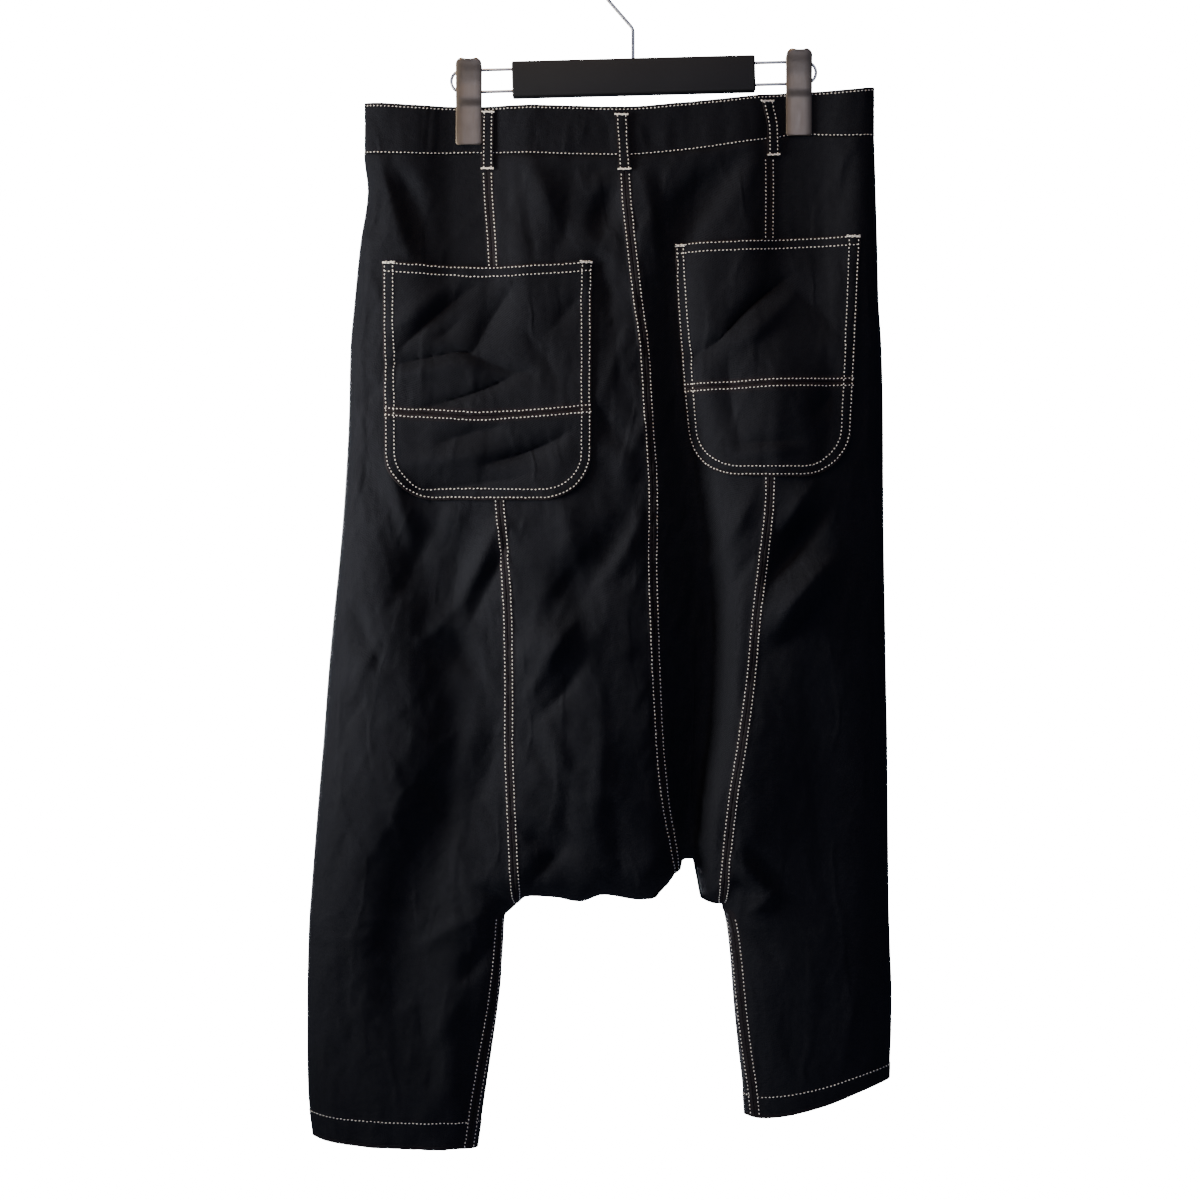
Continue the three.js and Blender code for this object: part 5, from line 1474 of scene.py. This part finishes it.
@dataclass
class Hanger:
    """The bar, the hook and the two wire rails."""

    pieces: list[bpy.types.Object] = field(default_factory=list)

    def bar(self) -> bpy.types.Object:
        """Models the bar: a long block with rounded edges and slightly sunk ends."""
        deselect()
        bpy.ops.mesh.primitive_cube_add(size=1.0)
        obj = bpy.context.object
        obj.name = obj.data.name = "hanger_bar_moulding"
        obj.scale = Vector((BAR_LENGTH, BAR_DEPTH, BAR_HEIGHT)) * MM
        bpy.ops.object.transform_apply(location=True, rotation=True, scale=True)
        bpy.ops.object.mode_set(mode="EDIT")
        bpy.ops.mesh.select_all(action="DESELECT")
        bm = bmesh.from_edit_mesh(obj.data)
        for face in bm.faces:
            face.select = abs(face.normal.x) > 0.9
        bmesh.update_edit_mesh(obj.data)
        bpy.ops.mesh.inset(thickness=3.4 * MM, depth=-0.0005)
        bpy.ops.object.mode_set(mode="OBJECT")
        apply_modifier(obj, "BEVEL", width=1.7 * MM, segments=4, limit_method="ANGLE", angle_limit=math.radians(60))
        settle(obj, HANGER_TILT)
        return finished(obj, "bar", ("hanger_bar",))

    def hook(self) -> bpy.types.Object:
        """Models the hook: a stem, a bend, a straight slope and most of a ring."""
        slope = 135.0
        leave = HOOK_LEAVE
        top = -HOOK_RADIUS + HOOK_WIRE
        ring_x = HOOK_RADIUS * math.cos(math.radians(leave))
        ring_z = top + HOOK_RADIUS * math.sin(math.radians(leave))
        heading = leave - 90.0
        reach = -ring_x / math.cos(math.radians(180.0 - heading))
        corner_z = ring_z - reach * math.sin(math.radians(heading))
        bend = 9.0
        cut = bend * math.tan(math.radians((heading - 90.0) / 2))
        start = BAR_Z + BAR_HEIGHT / 2 - 13.0
        wire = WireForm("hanger_hook_wire", (0.0, start), 90.0, HOOK_WIRE)
        wire.straight(corner_z - cut - start, 4)
        wire.bend(bend, heading - 90.0, 8)
        wire.straight(reach - cut, 3)
        wire.bend(HOOK_RADIUS, -(leave - HOOK_TIP), 64)
        LOG.debug("the hook leaves its ring at %.1f degrees", slope)
        return finished(wire.done(), "wire", ("hanger_hook",))

    def rail(self, name: str, sign: float) -> bpy.types.Object:
        """Models one end's rail: out of the bar, round a half circle past the clip and back."""
        start = BAR_LENGTH / 2 - RAIL_ROOT + 2.0
        turn = RAIL_REACH - RAIL_OFFSET
        wire = WireForm(f"hanger_rail_{name}_wire", (sign * start, RAIL_OFFSET), 0.0 if sign > 0 else 180.0, RAIL_RADIUS)
        wire.straight(turn - start, 4)
        wire.bend(RAIL_OFFSET, -180.0 * sign, 24)
        wire.straight(turn - start, 4)
        return finished(wire.done(HANGER_TILT), "wire", (f"hanger_rail_{name}",))

    def build(self) -> list[bpy.types.Object]:
        """Returns the hanger's pieces."""
        self.pieces = [self.bar(), self.hook(), self.rail("left", -1.0), self.rail("right", 1.0)]
        return self.pieces


@dataclass
class Clip:
    """A spring clip: two bowed jaws, and a saddle between them that rides on the rail."""

    name: str
    spreads: Table = Table("down spread", (
        (0, 7.6), (0.5, 7.5), (2, 7.2), (4.5, 6.8), (12, 5.4), (23, 4.3), (32, 4.3),
        (41, NIP + BAND / 2 + 0.3), (56, NIP + BAND / 2 + 0.3), (CLIP_HEIGHT, NIP + BAND / 2 + 0.3)))

    def jaw(self, side: Side) -> bpy.types.Object:
        """Models one jaw from a subdivided plate."""
        deselect()
        bpy.ops.mesh.primitive_grid_add(x_subdivisions=20, y_subdivisions=52, size=1.0)
        obj = bpy.context.object
        which = side.name.lower()
        obj.name = obj.data.name = f"clip_{self.name}_{which}_plate"
        x, top = CLIP_X[self.name], CLIP_TOP[self.name]
        for vertex in obj.data.vertices:
            u, down = vertex.co.x * 2.0, (0.5 - vertex.co.y)
            down = CLIP_HEIGHT * (down ** 1.35 if down < 0.2 else 0.2 ** 1.35 + (down - 0.2) * (1 - 0.2 ** 1.35) / 0.8)
            foot_round = 1.6
            corner = np.clip(1 - down / CLIP_CORNER, 0, 1)
            toe = np.clip(1 - (CLIP_HEIGHT - down) / foot_round, 0, 1)
            half = CLIP_WIDTH / 2 - CLIP_CORNER * (1 - math.sqrt(1 - corner ** 2)) - foot_round * (1 - math.sqrt(1 - toe ** 2))
            bow = CLIP_BOW * (1 - abs(u) ** 3)
            spread = float(self.spreads.read("spread", down))
            vertex.co = Vector((x + u * half, side.value * (spread + bow), top - down)) * MM
        apply_modifier(obj, "SOLIDIFY", thickness=JAW * MM, offset=1.0 if side is Side.BACK else 1.0)
        self.face_out(obj, side)
        apply_modifier(obj, "BEVEL", width=0.35 * MM, segments=3, limit_method="ANGLE", angle_limit=math.radians(50))
        settle(obj)
        return finished(obj, "clip", (f"clip_{self.name}_{which}_jaw",))

    def face_out(self, obj: bpy.types.Object, side: Side) -> None:
        """Turns a plate's faces outwards and puts its thickness on the outer side."""
        bm = bmesh.new()
        bm.from_mesh(obj.data)
        bmesh.ops.recalc_face_normals(bm, faces=bm.faces)
        ys = [vertex.co.y * side.value for vertex in bm.verts]
        shift = (NIP + BAND / 2 + 0.3) * MM - min(ys)
        bmesh.ops.translate(bm, verts=bm.verts, vec=(0.0, side.value * shift, 0.0))
        bm.to_mesh(obj.data)
        bm.free()

    def saddle(self) -> bpy.types.Object:
        """Models the saddle: a bevelled block between the jaws."""
        deselect()
        bpy.ops.mesh.primitive_cube_add(size=1.0)
        obj = bpy.context.object
        obj.name = obj.data.name = f"clip_{self.name}_saddle_block"
        obj.scale = Vector((8.0, 9.6, 25.0)) * MM
        obj.location = Vector((CLIP_X[self.name] - BAR_X, 0.0, 0.0)) * MM
        bpy.ops.object.transform_apply(location=True, rotation=True, scale=True)
        bpy.ops.object.mode_set(mode="EDIT")
        bpy.ops.mesh.select_all(action="SELECT")
        bpy.ops.mesh.subdivide(number_cuts=3)
        bpy.ops.object.mode_set(mode="OBJECT")
        apply_modifier(obj, "BEVEL", width=0.8 * MM, segments=3, limit_method="ANGLE", angle_limit=math.radians(50))
        settle(obj, HANGER_TILT)
        return finished(obj, "clip", (f"clip_{self.name}_saddle",))

    def build(self) -> list[bpy.types.Object]:
        """Returns the clip's pieces."""
        return [self.jaw(Side.BACK), self.jaw(Side.FRONT), self.saddle()]


@dataclass(frozen=True)
class WaistButton:
    """The shank button on the waistband's lap."""

    x: float = 2.0
    z: float = -157.0
    radius: float = 8.5
    rise: float = 3.2

    def build(self) -> bpy.types.Object:
        """Models the button: a disc with a raised rim and a sunk middle."""
        low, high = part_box("waist_button")
        deselect()
        bpy.ops.mesh.primitive_cylinder_add(vertices=48, radius=self.radius * MM, depth=self.rise * MM,
                                            location=(self.x * MM, (low[1] + high[1]) / 2, self.z * MM),
                                            rotation=(math.pi / 2, 0.0, 0.0))
        obj = bpy.context.object
        obj.name = obj.data.name = "waist_button_cap"
        bpy.ops.object.transform_apply(location=True, rotation=True, scale=True)
        bpy.ops.object.mode_set(mode="EDIT")
        bpy.ops.mesh.select_all(action="DESELECT")
        bm = bmesh.from_edit_mesh(obj.data)
        for face in bm.faces:
            face.select = face.normal.y > 0.9
        bmesh.update_edit_mesh(obj.data)
        bpy.ops.mesh.inset(thickness=1.5 * MM, depth=0.0)
        bpy.ops.mesh.inset(thickness=1.0 * MM, depth=-0.7 * MM)
        bpy.ops.mesh.inset(thickness=3.0 * MM, depth=0.3 * MM)
        bpy.ops.object.mode_set(mode="OBJECT")
        apply_modifier(obj, "BEVEL", width=0.45 * MM, segments=3, limit_method="ANGLE", angle_limit=math.radians(40))
        settle(obj)
        return finished(obj, "button", ("waist_button",))


class Trousers:
    """All the cloth pieces and their stitching."""

    POCKETS = (
        Pocket("pocket_left", -211, -208.6, -35, -35.4, -269.4, -268.8, -396.9, -394.4, -471.5, -471.5, 4.8),
        Pocket("pocket_right", 34.6, 50, 191.6, 181, -254.2, -246.8, -376, -371.6, -451, -452),
    )
    LOOPS = (
        BeltLoop("loop_back_left", Side.BACK, Table("z x", ((-140, -122.7), (-165, -123), (-190.6, -123.3)))),
        BeltLoop("loop_back_centre", Side.BACK, Table("z x", ((-143.4, -9.8), (-168, -8.4), (-192.5, -7.2)))),
        BeltLoop("loop_back_right", Side.BACK, Table("z x", ((-131.2, 113.3), (-157, 118.3), (-179.2, 118.7)))),
        BeltLoop("loop_front_left", Side.FRONT, Table("z x", ((-141, -92), (-166, -92), (-191, -92)))),
        BeltLoop("loop_front_right", Side.FRONT, Table("z x", ((-132, 88), (-157, 88), (-182, 88)))),
    )
    SEATS = (
        SeatPanel("seat_back_left", Side.BACK, "princess_left", "centre", 30),
        SeatPanel("seat_back_right", Side.BACK, "centre", "princess_right", 34),
        SeatPanel("seat_front_left", Side.FRONT, "princess_left", "front_centre", 26),
        SeatPanel("seat_front_right", Side.FRONT, "front_centre", "princess_right", 26),
    )

    def __init__(self) -> None:
        """Makes the two leg panels' forms."""
        self.legs = [LegPanel(Leg.LEFT), LegPanel(Leg.RIGHT)]
        self.fly = FlyLap()

    def panels(self) -> None:
        """Builds every cloth piece."""
        for leg, width in zip(self.legs, (0.36, 0.32)):
            obj = leg.build()
        for seat, width in zip(self.SEATS, (0.15, 0.135, 0.14, 0.11)):
            obj = seat.build()
        Waistband().build()
        for loop in self.LOOPS:
            loop.build()
        grounds = (["seat_back_left_cloth", "leg_left_cloth"], ["seat_back_right_cloth", "leg_right_cloth"])
        for pocket, width, ground in zip(self.POCKETS, (0.178, 0.15), grounds):
            upper, lower = pocket.build()
        self.fly.build()

    @staticmethod
    def beside(side: Side, seam: str, z: np.ndarray, shift: float) -> np.ndarray:
        """Returns the places across of a row that runs beside a seam.

        Args:
            side: The side of the trousers.
            seam: The seam's column in the body table.
            z: Heights along the seam.
            shift: The row's distance from the seam along the cloth, negative towards -X.

        Returns:
            The places across, closer to the seam where the cloth slopes away.
        """
        x = seam_line(side, seam, z)
        slope = (HANGING.bulge(side, x + 3.0, z) - HANGING.bulge(side, x - 3.0, z)) / 6.0
        return x + shift / np.sqrt(1.0 + slope * slope)

    def seam_rows(self) -> None:
        """Sews the twin rows of the lengthwise seams and the inseams."""
        on_panel = CLOTH / 2 + 0.45
        rows = Stitching("topstitch_seams")
        gaps = {"princess_left": (-273.4, -471.0), "princess_right": (-249.6, -452.0), "centre": (0.0, 0.0)}
        start = {"princess_left": -192.0, "princess_right": -181.0, "centre": -194.0}
        for seam, (mouth, foot) in gaps.items():
            end = -786.0 if seam == "centre" else -811.0
            for shift in (-TWIN / 2, TWIN / 2):
                runs = [(start[seam], mouth), (foot, end)] if mouth else [(start[seam], end)]
                for high, low in runs:
                    z = np.linspace(high, low, 260)
                    rows.on_cloth(Side.BACK, self.beside(Side.BACK, seam, z, shift), z, on_panel)
        for seam in ("princess_left", "front_centre", "princess_right"):
            end = -786.0 if seam == "front_centre" else -811.0
            for shift in (-TWIN / 2, TWIN / 2):
                z = np.linspace(-185.0 if seam != "princess_right" else -172.0, end, 300)
                rows.on_cloth(Side.FRONT, self.beside(Side.FRONT, seam, z, shift), z, on_panel)
        for leg in Leg:
            table, inward = SHANKS[leg], leg.inward
            z = np.linspace(-824.0, table.column("z")[-1] + 0.6, 160)
            seam, inner = table.read("inseam", z), table.read("inner", z)
            for shift in (-TWIN / 2, TWIN / 2):
                x = seam + inward * shift
                x = np.minimum(x, inner - 1.6) if leg is Leg.LEFT else np.maximum(x, inner + 1.6)
                turned = z < table.column("z")[-1] + HEM_ROW[leg] + 1.5
                rows.on_cloth(Side.BACK, x, z, on_panel + np.where(turned, 0.45, 0.1))
        for leg in self.legs:
            rows.along(*leg.hem_row())
        rows.build()

    def waist_rows(self) -> None:
        """Sews the rows along the waistband's edges, round the whole body."""
        rows = Stitching("topstitch_waistband")
        sign, x, tuck = Waistband().route()
        keep = tuck < 1e-6
        for share in (2.5 / 43.0, 41.9 / 43.0):
            level = np.full((3, int(keep.sum())), mix(BAND_TOP, BAND_FOOT, share))
            level += np.array([[0.8], [0.0], [-0.8]])
            points = HANGING.place(sign[keep][None, :] + 0 * level, x[keep][None, :] + 0 * level, level)
            normals = grid_normals(points)[1]
            out = np.sign(np.sum(normals[:, 1] * sign[keep]))
            normals = normals * out
            rows.along(points[1] + normals * (BAND / 2 + 0.16), normals)
        rows.build()

    def loop_rows(self) -> None:
        """Sews the twin rows and bar tacks of the belt loops."""
        rows = Stitching("topstitch_loops")
        for loop in self.LOOPS:
            ends = loop.line.column("z")
            share = np.linspace(0.02, 0.98, 60)
            z = mix(ends[0], ends[-1], share)
            surface = loop.lift(share) + (LOOP_WALL - 0.2) / 2 + 0.3
            for shift in (-TWIN / 2, TWIN / 2):
                rows.on_cloth(loop.side, loop.centre(z) + shift, z, surface)
            lean = {"loop_back_left": -0.02, "loop_back_centre": 0.0, "loop_back_right": 0.06}.get(loop.name, 0.0)
            for end, drop in ((ends[0], -1.2), (ends[-1], 1.4)):
                lift = float(loop.lift(np.array(0.0))) + LOOP_WALL / 2 + 0.3
                rows.tack(loop.side, float(loop.centre(np.array(end))), float(end + drop), LOOP_WIDTH + 1.6, lean, lift)
        rows.build()

    def pocket_rows(self) -> None:
        """Sews the pockets' edges, mouths and felled seams, with a few back stitches at the corners."""
        rows = Stitching("topstitch_pockets")
        for pocket in self.POCKETS:
            for x, z in pocket.rows():
                rows.on_cloth(Side.BACK, x, z, pocket.lift(x, z) + CLOTH / 2 + 0.75)
            for end, way in ((pocket.left + 1.5, 1.0), (pocket.right - 1.5, -1.0)):
                mouth = pocket.mouth_left if way > 0 else pocket.mouth_right
                x = end + way * np.linspace(-1.5, 9.0, 12)
                for drop in (1.0, 2.1):
                    z = np.full(12, mouth - drop)
                    rows.on_cloth(Side.BACK, x, z, pocket.lift(x, z) + CLOTH / 2 + 1.1, pitch=2.2, fill=1.0, wander=0.3)
        for inset in (2.0, 2.0 + TWIN):
            x, z = self.fly.row(inset)
            rows.on_cloth(Side.FRONT, x, z, CLOTH * 1.5 + POCKET_GAP + 0.15)
        rows.build()

    def build(self) -> None:
        """Builds the cloth and sews it."""
        self.panels()
        self.seam_rows()
        self.waist_rows()
        self.loop_rows()
        self.pocket_rows()


@dataclass(frozen=True)
class Studio:
    """A pale floor in a pale room, soft light from the left, and the camera."""

    frame_width: float = 1.02           # metres of the garment's plane across the square picture
    distance: float = 2.5
    centre_x: float = -0.02805
    centre_z: float = -0.5555
    paleness: float = 18.0              # how bright the room and the floor look to the camera

    def light(self, name: str, size: tuple[float, float], power: float, place: Vector, target: Vector,
              colour: str = "#ffffff", spread: float = 180.0) -> None:
        """Adds an area light.

        Args:
            name: The light's name.
            size: Its width and height in metres.
            power: Its power in watts.
            place: Where it stands.
            target: The point that it faces.
            colour: Its colour.
            spread: The angle of its beam in degrees, as set by a honeycomb.
        """
        lamp = bpy.data.lights.new(name, "AREA")
        lamp.shape = "RECTANGLE"
        lamp.size, lamp.size_y = size
        lamp.energy = power
        lamp.color = linear(colour)[:3]
        lamp.spread = math.radians(spread)
        obj = bpy.data.objects.new(name, lamp)
        obj.location = place
        obj.rotation_euler = (target - place).to_track_quat("-Z", "Y").to_euler()
        obj.visible_camera = False
        bpy.context.scene.collection.objects.link(obj)

    def floor(self) -> None:
        """Adds the flat floor, which the camera sees as pale as the room."""
        half, level = 2200.0, -1850.0
        points = np.array([(x, y, level) for y in (-half, half) for x in (-half, half)])
        obj = mesh_object("paper_floor", points, [(0, 1, 3, 2)])
        paper = new_material("white_paper")
        place = add_node(paper, "ShaderNodeTexCoord").outputs["Object"]
        fibre = add_node(paper, "ShaderNodeTexNoise", {}, {"Vector": place, "Scale": 400.0, "Detail": 2.0})
        bump = add_node(paper, "ShaderNodeBump", {}, {"Height": fibre.outputs["Fac"], "Strength": 0.03})
        seen = add_node(paper, "ShaderNodeLightPath")
        glow = add_node(paper, "ShaderNodeMath", {"operation": "MULTIPLY"},
                        {0: seen.outputs["Is Camera Ray"], 1: self.paleness})
        shader = add_node(paper, "ShaderNodeBsdfPrincipled", {},
                          {"Base Color": linear("#fbfbfa"), "Roughness": 0.9, "Normal": bump.outputs[0],
                           "Emission Color": linear("#ffffff"), "Emission Strength": glow.outputs[0]})
        obj.data.materials.append(finish_material(paper, shader))

    def room(self) -> None:
        """Surrounds the stage with faint blue light, and with plain white for the camera alone."""
        world = bpy.data.worlds.new("soft_room")
        world.use_nodes = True
        tree = world.node_tree
        dim = tree.nodes["Background"]
        dim.inputs["Color"].default_value = linear("#7288d6")
        dim.inputs["Strength"].default_value = 0.13
        pale = tree.nodes.new("ShaderNodeBackground")
        pale.inputs["Color"].default_value = linear("#ffffff")
        pale.inputs["Strength"].default_value = self.paleness
        seen = tree.nodes.new("ShaderNodeLightPath")
        mixed = tree.nodes.new("ShaderNodeMixShader")
        tree.links.new(seen.outputs["Is Camera Ray"], mixed.inputs[0])
        tree.links.new(dim.outputs[0], mixed.inputs[1])
        tree.links.new(pale.outputs[0], mixed.inputs[2])
        tree.links.new(mixed.outputs[0], tree.nodes["World Output"].inputs["Surface"])
        bpy.context.scene.world = world

    def build(self) -> None:
        """Sets up the stage, the lights, the world and the camera."""
        self.floor()
        self.room()
        middle = Vector((self.centre_x, 0.0, self.centre_z))
        self.light("window", (0.3, 0.6), 7.2, Vector((-0.95, -0.3, -0.39)), Vector((-0.05, 0.0, -0.44)),
                   "#fffdf8", 90.0)
        self.light("overhead", (0.8, 0.4), 2.0, Vector((-0.3, -0.7, 0.6)), Vector((-0.05, 0.0, -0.3)), "#ffdcb4", 80.0)
        self.light("front_card", (1.6, 1.6), 5.4, Vector((0.2, -3.6, 0.3)), middle, "#d0ddff", 60.0)
        self.light("far_side_card", (0.8, 0.8), 24.0, Vector((-1.0, 1.9, 0.1)), middle, "#f2f4ff", 70.0)
        camera = bpy.data.cameras.new("camera")
        camera.sensor_width = 36.0
        camera.lens = 36.0 * self.distance / self.frame_width
        obj = bpy.data.objects.new("camera", camera)
        obj.location = (self.centre_x, -self.distance, self.centre_z)
        obj.rotation_euler = (math.pi / 2, 0.0, 0.0)
        bpy.context.scene.collection.objects.link(obj)
        bpy.context.scene.camera = obj


def main() -> None:
    """Builds the studio, the trousers, and the hanger with its clips and the waist button."""
    logging.basicConfig(level=logging.INFO, format="%(name)s: %(message)s")
    Studio().build()
    Trousers().build()
    Hanger().build()
    for name in CLIP_X:
        Clip(name).build()
    WaistButton().build()
    deselect()
    bpy.context.view_layer.update()


if __name__ == "__main__":
    main()
